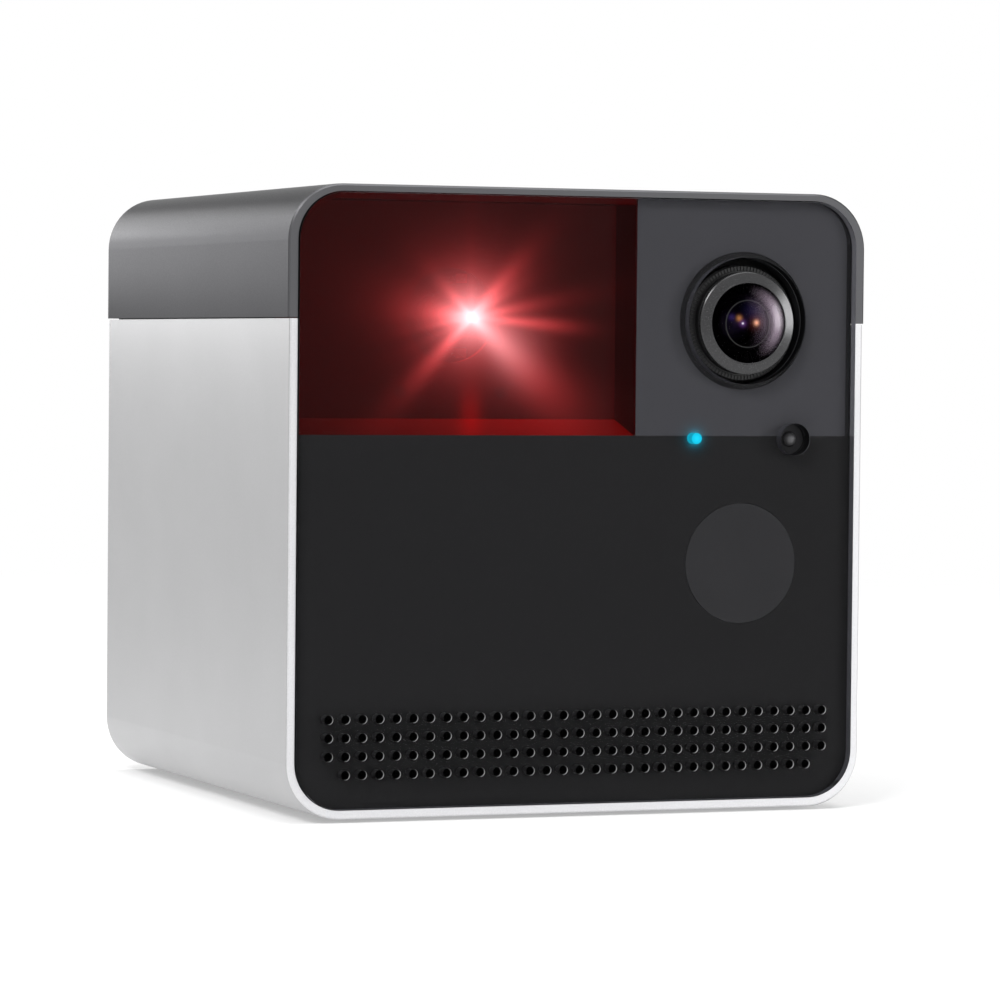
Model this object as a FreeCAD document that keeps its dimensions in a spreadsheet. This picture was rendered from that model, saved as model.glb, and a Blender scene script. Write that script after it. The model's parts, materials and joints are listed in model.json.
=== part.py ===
"""Cube-shaped pet camera with a steered laser pointer, as a parametric FreeCAD document.

Millimetres. +X is the object's right as seen from in front, +Y runs from the glass front
to the back, +Z is up. The origin is the middle of the footprint, on the standing surface.
"""
import FreeCAD, Part
import os
import re

import Sketcher

doc = FreeCAD.newDocument("pet_camera")

# ---------------------------------------------------------------- driving dimensions

SIZES = {
    # case
    "case_width": (80.7, "aluminium shell, side to side"),
    "overall_height": (82.0, "standing surface to top of cap"),
    "overall_depth": (81.2, "window face to back rim"),
    "corner_radius": (7.3, "outside corner of case"),
    "shell_wall": (1.1, "side wall of shell and cap"),
    "shell_floor": (1.2, "bottom of shell"),
    "cap_roof": (0.95, "top of cap"),
    "cap_proud": (0.2, "cap stands out past shell, each side"),
    "cap_height": (17.15, "top of case to lower edge of cap"),
    "seam_gap": (0.15, "shadow gap under cap"),
    "edge_chamfer": (0.25, "chamfer on front edge of case"),
    "overcut": (1.0, "cutting outlines run past the piece"),
    "least_flat": (0.02, "least straight run between two rounded corners"),
    "lip_drop": (1.5, "cap's locating lip, below seam"),
    "lip_rise": (3.0, "cap's locating lip, above seam"),
    "lip_thick": (1.0, "cap's locating lip, thickness"),
    "fit_gap": (0.12, "clearance round window and cover"),
    "channel_inset": (4.4, "screw channel's axis from case side and end"),
    "channel_radius": (2.4, "screw channel, outside"),
    "pilot_radius": (1.0, "screw channel, pilot hole"),
    "screw_radius": (0.9, "case screw, shank"),
    "screw_length": (7.0, "case screw, shank length"),
    "screw_head_radius": (1.7, "case screw, head"),
    "screw_head": (0.9, "case screw, head height"),
    # foot and tripod socket
    "foot_proud": (0.4, "rubber foot below shell"),
    "foot_recess": (0.4, "foot let into shell"),
    "foot_side": (64.0, "foot pad, side length"),
    "foot_corner": (8.0, "foot pad, corner radius"),
    "foot_hole": (9.0, "hole in foot round tripod socket"),
    "insert_radius": (5.5, "tripod insert, outside"),
    "insert_height": (8.0, "tripod insert, height"),
    "thread_radius": (3.175, "quarter-inch tripod thread, major radius"),
    "thread_depth": (6.8, "tripod thread, depth"),
    # front window and layers behind it
    "window_thick": (1.5, "clear front window"),
    "window_proud": (0.5, "window stands out of case rim"),
    "mask_thick": (0.2, "opaque layers behind window"),
    "filter_thick": (0.6, "red filter"),
    "frame_thick": (1.8, "front frame"),
    "zone_drop": (32.18, "top of case to top of black field"),
    "split_inset": (32.35, "case side to edge between laser window and camera field"),
    "side_margin": (0.75, "camera field stops short of window side"),
    "top_margin": (0.5, "camera field stops short of window top"),
    # speaker grille
    "grille_columns": (31, "holes in a full row"),
    "grille_rows": (4, "rows, last one two holes shorter"),
    "grille_margin": (4.33, "window side to middle of outer column"),
    "grille_row_pitch": (2.39, "between rows"),
    "grille_hole": (0.6, "grille hole radius"),
    "grille_z": (13.33, "top row of holes"),
    # camera
    "lens_inset": (17.05, "case side to lens axis"),
    "bore_drop": (16.95, "top of case to middle of window bore"),
    "lens_drop": (0.3, "lens axis below bore's centre"),
    "bore_radius": (8.375, "window bore"),
    "bore_margin": (0.75, "camera field stops short of bore"),
    "lens_proud": (1.4, "lens stands out of window"),
    "dome_radius": (5.25, "front lens, rim radius"),
    "dome_rise": (1.0, "front lens, height of crown"),
    "dome_hollow": (4.4, "front lens, radius of hollow back"),
    "dome_hollow_set": (1.1, "front lens, hollow's centre behind seat"),
    "ring_radius": (6.75, "retaining ring, outside"),
    "ring_fall": (0.45, "retaining ring, slope from rim to outside"),
    "ring_thick": (0.8, "retaining ring, behind window face"),
    "shoulder_radius": (7.7, "knurled shoulder of barrel"),
    "shoulder_depth": (1.9, "window face to shoulder"),
    "shoulder_thick": (2.5, "knurled shoulder, thickness"),
    "thread_m12": (6.0, "barrel's threaded part"),
    "barrel_end": (17.0, "window face to back of barrel"),
    "dome_seat": (3.4, "window face to front lens seat"),
    "barrel_bore": (3.3, "barrel's bore"),
    "inner_lens_thick": (2.5, "second lens"),
    "inner_lens_set": (0.5, "front lens seat to second lens"),
    "inner_lens_crown": (4.1, "second lens, radius of face"),
    "lens_slip": (0.1, "lens in barrel, radial clearance"),
    "holder_front": (9.0, "window face to lens holder"),
    "holder_half_x": (12.0, "lens holder, half width"),
    "holder_half_z": (8.6, "lens holder, half height"),
    "sensor_board_y": (21.0, "window face to sensor board"),
    "board_thick": (1.2, "circuit boards"),
    "board_corner": (1.0, "circuit boards, corner radius"),
    "sensor_board_half": (13.0, "sensor board, half side"),
    "post_reach": (11.0, "camera post from lens axis"),
    "post_radius": (1.8, "camera post"),
    "chip_half": (4.0, "image sensor, half side"),
    "chip_thick": (1.4, "image sensor"),
    "tray_front": (17.2, "window face to filter tray"),
    "tray_half_z": (4.5, "filter tray, half height"),
    "filter_travel": (6.6, "night filter, travel"),
    "filter_pane": (3.0, "night filter, pane half side"),
    "filter_rim": (0.6, "night filter, rim round panes"),
    "filter_plate": (0.8, "night filter, slider thickness"),
    "slide_gap": (0.3, "clearance beside moving pieces"),
    # small front pieces
    "led_offset": (7.15, "status light and light sensor from lens axis"),
    "led_drop": (15.56, "middle of window bore to status light"),
    "led_radius": (0.7, "status light"),
    "sensor_drop": (15.65, "middle of window bore to light sensor"),
    "sensor_hole": (2.12, "light sensor recess"),
    "sensor_recess": (2.1, "window face to sensor seat"),
    "sensor_radius": (0.95, "light sensor dome"),
    "led_half": (0.8, "status emitter, half width and height"),
    "front_board_y": (6.0, "window face to front board"),
    "front_stand_reach": (9.5, "front board's stands from lens axis"),
    "front_board_margin": (2.0, "front board past its stands"),
    "ir_z": (32.93, "night light disc, height"),
    "ir_radius": (8.0, "night light disc"),
    "ir_thick": (1.4, "night light disc, thickness"),
    "ir_ledge": (1.0, "night light disc's ledge"),
    "ir_led_half": (1.5, "night light emitter, half side"),
    "ir_led_tall": (2.0, "night light emitter, height"),
    "ir_led_reach": (3.2, "night light emitter from disc's axis"),
    # laser chamber
    "chamber_depth": (8.8, "window face to chamber's back wall"),
    "chamber_wall": (0.8, "chamber side walls"),
    "chamber_back": (1.0, "chamber back wall"),
    "ramp_rise": (2.0, "chamber floor climbs to the back"),
    "laser_side": (0.3, "laser axis right of the red window's middle"),
    "aperture_radius": (6.2, "hole for the laser in back wall"),
    # laser head
    "pivot_behind": (7.7, "chamber's back to pan axis"),
    "laser_radius": (3.0, "laser barrel"),
    "laser_front": (6.0, "laser barrel ahead of pan axis"),
    "laser_rear": (5.2, "laser barrel behind pan axis"),
    "laser_mouth": (2.25, "laser barrel, mouth radius"),
    "laser_mouth_depth": (2.0, "laser barrel, mouth depth"),
    "laser_lens_set": (0.6, "laser lens behind barrel's front"),
    "cradle_half": (4.3, "cradle, half width and height"),
    "cradle_reach": (3.5, "cradle, half length"),
    "pin_radius": (1.25, "pivot pins"),
    "running_gap": (0.04, "pivot pin in its bearing"),
    "gear_module": (0.5, "tooth size"),
    "gear_thick": (1.6, "gears, face width"),
    "pan_teeth": (30, "pan gear"),
    "tilt_teeth": (22, "tilt gear"),
    "pinion_teeth": (10, "both pinions"),
    "hub_radius": (2.8, "gear hubs"),
    "sector_margin": (1.0, "gear sectors run past their axis"),
    "shaft_radius": (0.5, "motor shafts"),
    "shaft_grip": (3.0, "motor shafts inside motor"),
    "shaft_bore": (4.0, "motor bores"),
    "arm_thick": (1.6, "yoke arms"),
    "arm_reach": (2.0, "yoke arms, half length"),
    "yoke_drop": (7.8, "laser axis to yoke's base plate"),
    "yoke_plate": (1.5, "yoke's base plate"),
    "bracket_thick": (1.6, "laser bracket"),
    "bracket_half": (9.0, "laser bracket, half width"),
    "bracket_flange": (4.2, "laser bracket's flange, height"),
    "bracket_flange_thick": (1.2, "laser bracket's flange"),
    "bracket_screw_inset": (2.0, "laser bracket's screws from its sides"),
    "bush_wall": (1.0, "pan bush, wall"),
    "bush_flange": (1.0, "pan bush, flange"),
    "pan_motor_radius": (4.5, "pan motor"),
    "pan_motor_length": (10.0, "pan motor"),
    "tilt_motor_radius": (4.0, "tilt motor"),
    "tilt_motor_length": (7.9, "tilt motor"),
    # speaker
    "speaker_z": (14.2, "speaker's centre"),
    "mesh_thick": (0.15, "dust mesh"),
    "mesh_margin": (1.0, "dust mesh past the outer holes"),
    "box_short": (2.05, "speaker box short of screw channels"),
    "box_tall": (21.6, "speaker box, height"),
    "box_wall": (1.5, "speaker box, wall"),
    "box_depth": (16.4, "speaker box, front to back"),
    "basket_thick": (1.2, "speaker basket plate"),
    "basket_depth": (9.35, "speaker basket, front to back"),
    "opening_half": (18.0, "speaker opening, half length"),
    "opening_round": (7.6, "speaker opening, end radius"),
    "surround_width": (2.9, "rolled surround"),
    "cone_thick": (0.5, "speaker cone"),
    "cone_travel": (0.4, "speaker cone, each way"),
    "cone_gap": (0.5, "mesh to speaker cone at full travel"),
    "coil_radius": (4.3, "voice coil, outside"),
    "coil_wall": (0.4, "voice coil, wall"),
    "coil_length": (4.5, "voice coil"),
    "magnet_radius": (7.0, "speaker magnet"),
    "magnet_length": (7.8, "speaker magnet"),
    "magnet_set": (2.7, "speaker cone to magnet"),
    "magnet_back": (1.5, "speaker magnet, back plate"),
    "coil_gap": (0.5, "voice coil to magnet and pole"),
    # base and electronics
    "tray_margin": (1.5, "base tray short of screw channels"),
    "tray_thick": (1.5, "base tray"),
    "tray_gap": (3.85, "speaker box to base tray"),
    "stand_height": (7.5, "board stands on tray"),
    "stand_radius": (2.2, "board stands"),
    "stand_inset": (3.5, "board stands from tray's edges"),
    "board_margin": (4.7, "main board short of shell"),
    "board_gap": (1.0, "main board short of back cover"),
    "board_screw_radius": (0.8, "board screw, shank"),
    "board_screw_head": (1.5, "board screw, head radius"),
    "board_screw_length": (4.0, "board screw, shank length"),
    "board_screw_tall": (0.9, "board screw, head height"),
    "processor_half": (7.0, "processor, half side"),
    "processor_thick": (1.6, "processor"),
    "processor_x": (-12.0, "processor, sideways"),
    "processor_y": (8.0, "processor, front to back"),
    "sink_height": (7.0, "heat sink"),
    "sink_base": (1.5, "heat sink, base"),
    "sink_fins": (6, "heat sink fins"),
    "fin_thick": (1.0, "heat sink fin"),
    "can_x": (14.0, "radio shield, sideways"),
    "can_half": (9.0, "radio shield, half side"),
    "can_height": (3.0, "radio shield"),
    "can_wall": (0.3, "radio shield, sheet"),
    "antenna_half": (18.0, "antenna strip, half length"),
    "antenna_width": (9.0, "antenna strip"),
    "antenna_thick": (0.3, "antenna strip"),
    "ribbon_half": (3.4, "camera ribbon, half width"),
    "ribbon_thick": (0.3, "camera ribbon"),
    "ribbon_bend": (3.0, "camera ribbon, bend radius"),
    "ribbon_run": (9.0, "camera ribbon along main board"),
    "ribbon_root": (4.0, "camera ribbon up sensor board's back"),
    "mic_half": (1.9, "microphone, half side"),
    "mic_thick": (2.4, "microphone"),
    "mic_port": (0.4, "microphone, sound port radius"),
    # back
    "cover_inset": (0.6, "back cover inside rim"),
    "cover_thick": (2.0, "back cover"),
    "port_half": (4.47, "power socket, half width"),
    "port_height": (3.16, "power socket"),
    "port_length": (8.2, "power socket"),
    "port_wall": (0.3, "power socket, shell"),
    "port_gap": (0.35, "cover round power socket"),
    "port_inset": (0.5, "power socket inside cover's face"),
    "port_back": (1.0, "power socket, back wall"),
    "port_tongue": (3.35, "power socket's tongue, half width"),
    "port_tongue_thick": (0.7, "power socket's tongue"),
    "port_tongue_set": (0.8, "power socket's tongue inside mouth"),
    "button_x": (14.0, "setup button, sideways"),
    "button_rise": (3.6, "setup button's axis above board"),
    "button_radius": (2.5, "setup button"),
    "button_gap": (0.06, "setup button in its hole"),
    "button_flange": (3.2, "setup button's flange"),
    "button_flange_thick": (1.2, "setup button's flange, thickness"),
    "button_proud": (0.4, "setup button out of cover"),
    "button_travel": (0.6, "setup button"),
    "stem_radius": (1.2, "setup button's stem"),
    "stem_length": (3.0, "setup button's stem"),
    "switch_half": (3.0, "setup switch, half width"),
    "switch_roof": (0.8, "setup switch over its bore"),
    "switch_length": (4.4, "setup switch"),
    "vent_count": (12, "vent slots"),
    "vent_pitch": (4.0, "vent slots"),
    "vent_half": (0.8, "vent slot, half width"),
    "vent_drop": (16.0, "top of case to vent slots"),
    "vent_tall": (16.0, "vent slots, height"),
}

# Places that follow from the sizes, each a formula.
PLACES = {
    "front_y": "lens_proud - (overall_depth + lens_proud) / 2",
    "rim_y": "front_y + window_proud",
    "rear_y": "front_y + overall_depth",
    "mask_y": "front_y + window_thick",
    "frame_y": "mask_y + mask_thick",
    "frame_back": "frame_y + frame_thick",
    "half_width": "case_width / 2",
    "cap_half": "half_width + cap_proud",
    "inner_half": "half_width - shell_wall",
    "inner_corner": "corner_radius - shell_wall",
    "glass_half": "inner_half - fit_gap",
    "glass_corner": "inner_corner - fit_gap",
    "floor_z": "foot_proud + shell_floor",
    "roof_z": "overall_height - cap_roof",
    "glass_low": "floor_z + fit_gap",
    "glass_high": "roof_z - fit_gap",
    "seam_z": "overall_height - cap_height",
    "zone_z": "overall_height - zone_drop",
    "split_x": "half_width - split_inset",
    "channel_x": "half_width - channel_inset",
    "channel_low": "foot_proud + channel_inset",
    "channel_high": "overall_height - channel_inset",
    "cover_out": "rear_y - cover_inset",
    "cover_in": "cover_out - cover_thick",
    "base_y": "(rim_y + rear_y) / 2",
    "grille_x": "grille_margin - glass_half",
    "grille_pitch": "-2 * grille_x / (grille_columns - 1)",
    "grille_low": "grille_z - (grille_rows - 1) * grille_row_pitch",
    "lens_x": "half_width - lens_inset",
    "bore_z": "overall_height - bore_drop",
    "lens_z": "bore_z - lens_drop",
    "sensor_board_front": "front_y + sensor_board_y",
    "sensor_board_back": "sensor_board_front + board_thick",
    "led_x": "lens_x - led_offset",
    "led_z": "bore_z - led_drop",
    "sensor_x": "lens_x + led_offset",
    "sensor_z": "bore_z - sensor_drop",
    "front_board_front": "front_y + front_board_y",
    "filter_back": "mask_y + filter_thick",
    "laser_x": "(split_x - glass_half) / 2 + laser_side",
    "laser_z": "(zone_z + glass_high) / 2",
    "chamber_in": "front_y + chamber_depth",
    "chamber_out": "chamber_in + chamber_back",
    "chamber_low": "zone_z - chamber_wall",
    "chamber_right": "split_x + chamber_wall",
    "pan_y": "chamber_out + pivot_behind",
    "pan_radius": "gear_module * pan_teeth / 2",
    "tilt_radius": "gear_module * tilt_teeth / 2",
    "pinion_radius": "gear_module * pinion_teeth / 2",
    "pan_motor_y": "pan_y + pan_radius + pinion_radius",
    "tilt_motor_y": "pan_y + tilt_radius + pinion_radius",
    "arm_in": "cradle_half + gear_thick + slide_gap + slide_gap",
    "arm_out": "arm_in + arm_thick",
    "yoke_z": "laser_z - yoke_drop",
    "pan_gear_top": "yoke_z - yoke_plate",
    "pan_gear_low": "pan_gear_top - gear_thick",
    "bush_top": "pan_gear_low - slide_gap",
    "bracket_top": "bush_top - bush_flange",
    "bracket_low": "bracket_top - bracket_thick",
    "bush_radius": "pin_radius + running_gap + bush_wall",
    "box_front": "frame_back + mesh_thick",
    "box_half": "channel_x - channel_radius - box_short",
    "box_back": "box_front + box_depth",
    "cone_front": "box_front + cone_travel + cone_gap",
    "tray_top": "floor_z + tray_thick",
    "box_low": "tray_top + slide_gap",
    "box_high": "box_low + box_tall",
    "front_board_low": "box_high + slide_gap",
    "front_board_high": "lens_z - post_reach - post_radius - slide_gap",
    "tray_half": "channel_x - channel_radius - tray_margin",
    "tray_near": "box_back + tray_gap",
    "board_half": "inner_half - board_margin",
    "board_far": "cover_in - board_gap",
    "stand_x": "tray_half - stand_inset",
    "stand_near": "tray_near + stand_inset",
    "stand_far": "board_far - stand_inset",
    "board_low": "tray_top + stand_height",
    "board_top": "board_low + board_thick",
    "button_z": "board_top + button_rise",
    "button_out": "cover_out + button_proud",
    "port_mouth": "cover_out - port_inset",
    "vent_high": "overall_height - vent_drop",
    "vent_low": "vent_high - vent_tall",
}

sheet = doc.addObject("Spreadsheet::Sheet", "Sizes")
for row, (alias, (number, note)) in enumerate(SIZES.items(), start=1):
    sheet.set(f"A{row}", alias)
    sheet.set(f"B{row}", str(number))
    sheet.setAlias(f"B{row}", alias)
    sheet.set(f"C{row}", note)

NAME = re.compile(r"[a-z][a-z0-9_]*")


def full(text):
    """The expression with each bare size or place name led by its sheet's name."""

    def lead(found):
        word = found.group(0)
        if word in SIZES:
            return "Sizes." + word
        if word in PLACES:
            return "Places." + word
        return word

    return NAME.sub(lead, text)


places = doc.addObject("Spreadsheet::Sheet", "Places")
for row, (alias, formula) in enumerate(PLACES.items(), start=1):
    places.set(f"A{row}", alias)
    places.set(f"B{row}", "=" + full(formula).replace("Places.", ""))
    places.setAlias(f"B{row}", alias)
doc.recompute()


def value(text):
    """The number that an expression gives now."""
    return float(places.evalExpression(full(text)))


def bind(thing, prop, text):
    """Ties a property to an expression in the two sheets."""
    thing.setExpression(prop, full(text))


# ---------------------------------------------------------------- outlines in a sketch
# An outline is a function that draws one closed loop. Its coordinates are expressions:
# (x, z) on the XZ plane, (y, z) on the YZ plane and (x, y) on the XY plane.

ORIGIN_POINT = (-1, 1)


def pin_point(sketch, element, point, across, up):
    """Holds one point of a sketch element at a place measured from the sketch's origin."""
    for kind, text in (("DistanceX", across), ("DistanceY", up)):
        link = Sketcher.Constraint(kind, *ORIGIN_POINT, element, point, value(text))
        index = sketch.addConstraint(link)
        bind(sketch, f"Constraints[{index}]", text)


def ring(across, up, radius):
    """A circle."""

    def draw(sketch):
        centre = FreeCAD.Vector(value(across), value(up), 0)
        circle = Part.Circle(centre, FreeCAD.Vector(0, 0, 1), value(radius))
        element = sketch.addGeometry(circle)
        pin_point(sketch, element, 3, across, up)
        index = sketch.addConstraint(Sketcher.Constraint("Radius", element, value(radius)))
        bind(sketch, f"Constraints[{index}]", radius)

    return draw


def towards(here, there, radius):
    """The expression for a coordinate moved from here towards there by the radius."""
    step = value(there) - value(here)
    if abs(step) < 1e-9:
        return here
    return f"({here}) {'+' if step > 0 else '-'} ({radius})"


def outline(*corners):
    """A polygon. A third value in a corner rounds it; its two edges then run square."""

    def draw(sketch):
        points = []
        arcs = []
        count = len(corners)
        for index, corner in enumerate(corners):
            across, up = corner[:2]
            if len(corner) == 2:
                points.append((across, up))
                continue
            radius = corner[2]
            before = corners[index - 1]
            after = corners[(index + 1) % count]
            start = (towards(across, before[0], radius), towards(up, before[1], radius))
            end = (towards(across, after[0], radius), towards(up, after[1], radius))
            arcs.append((len(points), start, end, (across, up), radius))
            points.append(start)
            points.append(end)
        at = [FreeCAD.Vector(value(a), value(b), 0) for a, b in points]
        rounded = {arc[0]: arc for arc in arcs}
        total = len(points)
        for index in range(total):
            start, end = at[index], at[(index + 1) % total]
            if index in rounded:
                sketch.addGeometry(corner_arc(start, end, rounded[index]))
            else:
                sketch.addGeometry(Part.LineSegment(start, end))
        join_loop(sketch, points, rounded, total)

    return draw


def corner_arc(start, end, arc):
    """The quarter circle that rounds one corner of an outline."""
    corner = FreeCAD.Vector(value(arc[3][0]), value(arc[3][1]), 0)
    centre = start + end - corner
    middle = centre + (corner - centre).normalize() * value(arc[4])
    return Part.Arc(start, middle, end)


def join_loop(sketch, points, rounded, total):
    """Holds every line end in place, and each arc by its ends and radius."""
    first = sketch.GeometryCount - total
    for index, (across, up) in enumerate(points):
        element = first + index
        if index in rounded:
            curve = sketch.Geometry[element]
            begin = curve.StartPoint
            seed = FreeCAD.Vector(value(across), value(up), 0)
            near, far = (1, 2) if begin.distanceToPoint(seed) < 1e-6 else (2, 1)
            before = first + (index - 1) % total
            after = first + (index + 1) % total
            sketch.addConstraint(Sketcher.Constraint("Coincident", element, near, before, 2))
            sketch.addConstraint(Sketcher.Constraint("Coincident", element, far, after, 1))
            radius = rounded[index][4]
            link = Sketcher.Constraint("Radius", element, value(radius))
            bind(sketch, f"Constraints[{sketch.addConstraint(link)}]", radius)
            continue
        pin_point(sketch, element, 1, across, up)
        following = (index + 1) % total
        pin_point(sketch, element, 2, *points[following])


def rect(left, right, low, high, radius=None):
    """A rectangle, with its corners rounded where a radius is given."""
    tail = () if radius is None else (radius,)
    return outline(
        (left, low, *tail), (right, low, *tail), (right, high, *tail), (left, high, *tail)
    )


# ---------------------------------------------------------------- pieces as bodies

SIDEWAYS = {"XY": ("XY_Plane", 1), "XZ": ("XZ_Plane", -1), "YZ": ("YZ_Plane", 1)}
nodes = {}


class Piece:
    """One sub-part as a PartDesign body, with sketches on its own origin planes."""

    def __init__(self, label):
        self.body = doc.addObject("PartDesign::Body", label)
        self.body.Label = label
        self.steps = 0
        nodes[label] = self.body

    def origin(self, role):
        """An origin plane or axis of the body."""
        found = [item for item in self.body.Origin.OriginFeatures if item.Role == role]
        return found[0]

    def feature(self, kind):
        """A new feature of the body, named after the piece."""
        self.steps += 1
        return self.body.newObject(kind, f"{self.body.Label}_step_{self.steps}")

    def sketch(self, plane, at, loops):
        """A sketch parallel to an origin plane, at a coordinate along its normal."""
        role, sign = SIDEWAYS[plane]
        sketch = self.feature("Sketcher::SketchObject")
        sketch.AttachmentSupport = [(self.origin(role), "")]
        sketch.MapMode = "FlatFace"
        bind(sketch, "AttachmentOffset.Base.z", at if sign > 0 else f"-({at})")
        for loop in loops:
            loop(sketch)
        return sketch

    def pad(self, plane, low, high, *loops):
        """Adds the outlines from one coordinate to a higher one."""
        sketch = self.sketch(plane, low, loops)
        pad = self.feature("PartDesign::Pad")
        pad.Profile = sketch
        bind(pad, "Length", f"({high}) - ({low})")
        pad.Reversed = SIDEWAYS[plane][1] < 0
        return pad

    def pocket(self, plane, low, high, *loops):
        """Cuts the outlines away from one coordinate to a higher one."""
        sketch = self.sketch(plane, low, loops)
        pocket = self.feature("PartDesign::Pocket")
        pocket.Profile = sketch
        bind(pocket, "Length", f"({high}) - ({low})")
        pocket.Reversed = SIDEWAYS[plane][1] > 0
        return pocket

    def turn(self, *corners):
        """Turns a profile of (radius, y) corners about the body's own Y axis."""
        sketch = self.sketch("XY", "0", [outline(*corners)])
        turned = self.feature("PartDesign::Revolution")
        turned.Profile = sketch
        turned.ReferenceAxis = (sketch, ["V_Axis"])
        turned.Angle = 360
        return turned

    def row(self, feature, count, pitch):
        """Repeats a feature along +X."""
        pattern = self.feature("PartDesign::LinearPattern")
        pattern.Originals = [feature]
        pattern.Direction = (self.origin("X_Axis"), [""])
        bind(pattern, "Occurrences", count)
        bind(pattern, "Length", f"(({count}) - 1) * ({pitch})")
        self.body.Tip = pattern
        return pattern

    def circle_of(self, feature, count, axis):
        """Repeats a feature round a full circle about an origin axis."""
        pattern = self.feature("PartDesign::PolarPattern")
        pattern.Originals = [feature]
        pattern.Axis = (self.origin(axis), [""])
        pattern.Angle = 360
        bind(pattern, "Occurrences", count)
        self.body.Tip = pattern
        return pattern

    def chamfer(self, chosen, size):
        """Chamfers the edges for which chosen(edge) is true."""
        doc.recompute()
        base = self.body.Tip
        edges = enumerate(base.Shape.Edges, start=1)
        names = [f"Edge{number}" for number, edge in edges if chosen(edge)]
        step = self.feature("PartDesign::Chamfer")
        step.Base = (base, names)
        bind(step, "Size", size)
        return step

    def place(self, across, along, up):
        """Moves the whole body."""
        bind(self.body, "Placement.Base.x", across)
        bind(self.body, "Placement.Base.y", along)
        bind(self.body, "Placement.Base.z", up)


# ---------------------------------------------------------------- pieces from primitives

def block(name, across, along, up):
    """A box between pairs of coordinates."""
    box = doc.addObject("Part::Box", name)
    for prop, axis, (low, high) in zip(("Length", "Width", "Height"), "xyz", (across, along, up)):
        bind(box, prop, f"({high}) - ({low})")
        bind(box, f"Placement.Base.{axis}", low)
    return box


TURNS = {
    "x": FreeCAD.Rotation(FreeCAD.Vector(0, 1, 0), 90),
    "y": FreeCAD.Rotation(FreeCAD.Vector(1, 0, 0), -90),
    "z": FreeCAD.Rotation(),
}


def rod(name, axis, across, along, up, radius):
    """A cylinder along one axis: that axis has a pair of coordinates, the others one."""
    cylinder = doc.addObject("Part::Cylinder", name)
    cylinder.Placement = FreeCAD.Placement(FreeCAD.Vector(), TURNS[axis])
    for letter, where in zip("xyz", (across, along, up)):
        if letter == axis:
            low, high = where
            bind(cylinder, "Height", f"({high}) - ({low})")
            where = low
        bind(cylinder, f"Placement.Base.{letter}", where)
    bind(cylinder, "Radius", radius)
    return cylinder


def ball(name, across, along, up, radius):
    """A sphere."""
    sphere = doc.addObject("Part::Sphere", name)
    bind(sphere, "Placement.Base.x", across)
    bind(sphere, "Placement.Base.y", along)
    bind(sphere, "Placement.Base.z", up)
    bind(sphere, "Radius", radius)
    return sphere


def boolean(kind, name, parts):
    """A boolean of several shapes."""
    result = doc.addObject(kind, name)
    result.Shapes = parts
    return result


def fuse(name, *parts):
    """One solid from several."""
    return boolean("Part::MultiFuse", name, list(parts))


def common(name, *parts):
    """What several solids share."""
    return boolean("Part::MultiCommon", name, list(parts))


def cut(name, base, *tools):
    """A solid with others taken away."""
    result = doc.addObject("Part::Cut", name)
    result.Base = base
    result.Tool = tools[0] if len(tools) == 1 else fuse(name + "_tools", *tools)
    return result


def group(name, parts):
    """Separate solids that share one node."""
    result = doc.addObject("Part::Compound", name)
    result.Links = parts
    return result


def node(label, thing):
    """Names a finished sub-part."""
    thing.Label = label
    nodes[label] = thing
    return thing


SIDES = ("-", "")


# ---------------------------------------------------------------- case

def on_front_rim(edge):
    """True for an edge of the case's outer outline, in the rim's plane."""
    rim = value("rim_y")
    inside = value("inner_half") + 0.05
    low = value("floor_z") - 0.05
    high = value("roof_z") + 0.05
    points = [edge.valueAt(edge.FirstParameter), edge.valueAt(edge.LastParameter)]
    points.append(edge.CenterOfMass)
    if any(abs(point.y - rim) > 1e-4 for point in points):
        return False
    middle = points[-1]
    if edge.Curve.TypeId == "Part::GeomCircle":
        return edge.Curve.Radius > value("corner_radius") - 0.05
    across = abs(middle.x) > inside
    over = middle.z < low or middle.z > high
    level = abs(points[0].z - points[1].z) < 1e-4
    return (over and level) or (across and not level)


def make_shell():
    """Extruded aluminium trough: floor, two sides and a screw channel in each corner."""
    piece = Piece("aluminium_shell")
    top = "seam_z - seam_gap"
    piece.pad("XZ", "rim_y", "rear_y", outline(
        ("-half_width", "foot_proud", "corner_radius"),
        ("half_width", "foot_proud", "corner_radius"),
        ("half_width", top), ("-half_width", top)))
    above = "seam_z + overcut"
    piece.pocket("XZ", "rim_y", "rear_y", outline(
        ("-inner_half", "floor_z", "inner_corner"),
        ("inner_half", "floor_z", "inner_corner"),
        ("inner_half", above), ("-inner_half", above)))
    for side in SIDES:
        spot = (side + "channel_x", "channel_low")
        piece.pad("XZ", "frame_back", "cover_in", ring(*spot, "channel_radius"))
        piece.pocket("XZ", "frame_back", "cover_in", ring(*spot, "pilot_radius"))
    half = "foot_side / 2"
    piece.pocket("XY", "foot_proud", "foot_proud + foot_recess", rect(
        f"-{half}", half, f"base_y - {half}", f"base_y + {half}", "foot_corner"))
    piece.pocket("XY", "foot_proud", "floor_z", ring("0", "base_y", "insert_radius"))
    piece.chamfer(on_front_rim, "edge_chamfer")


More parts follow.
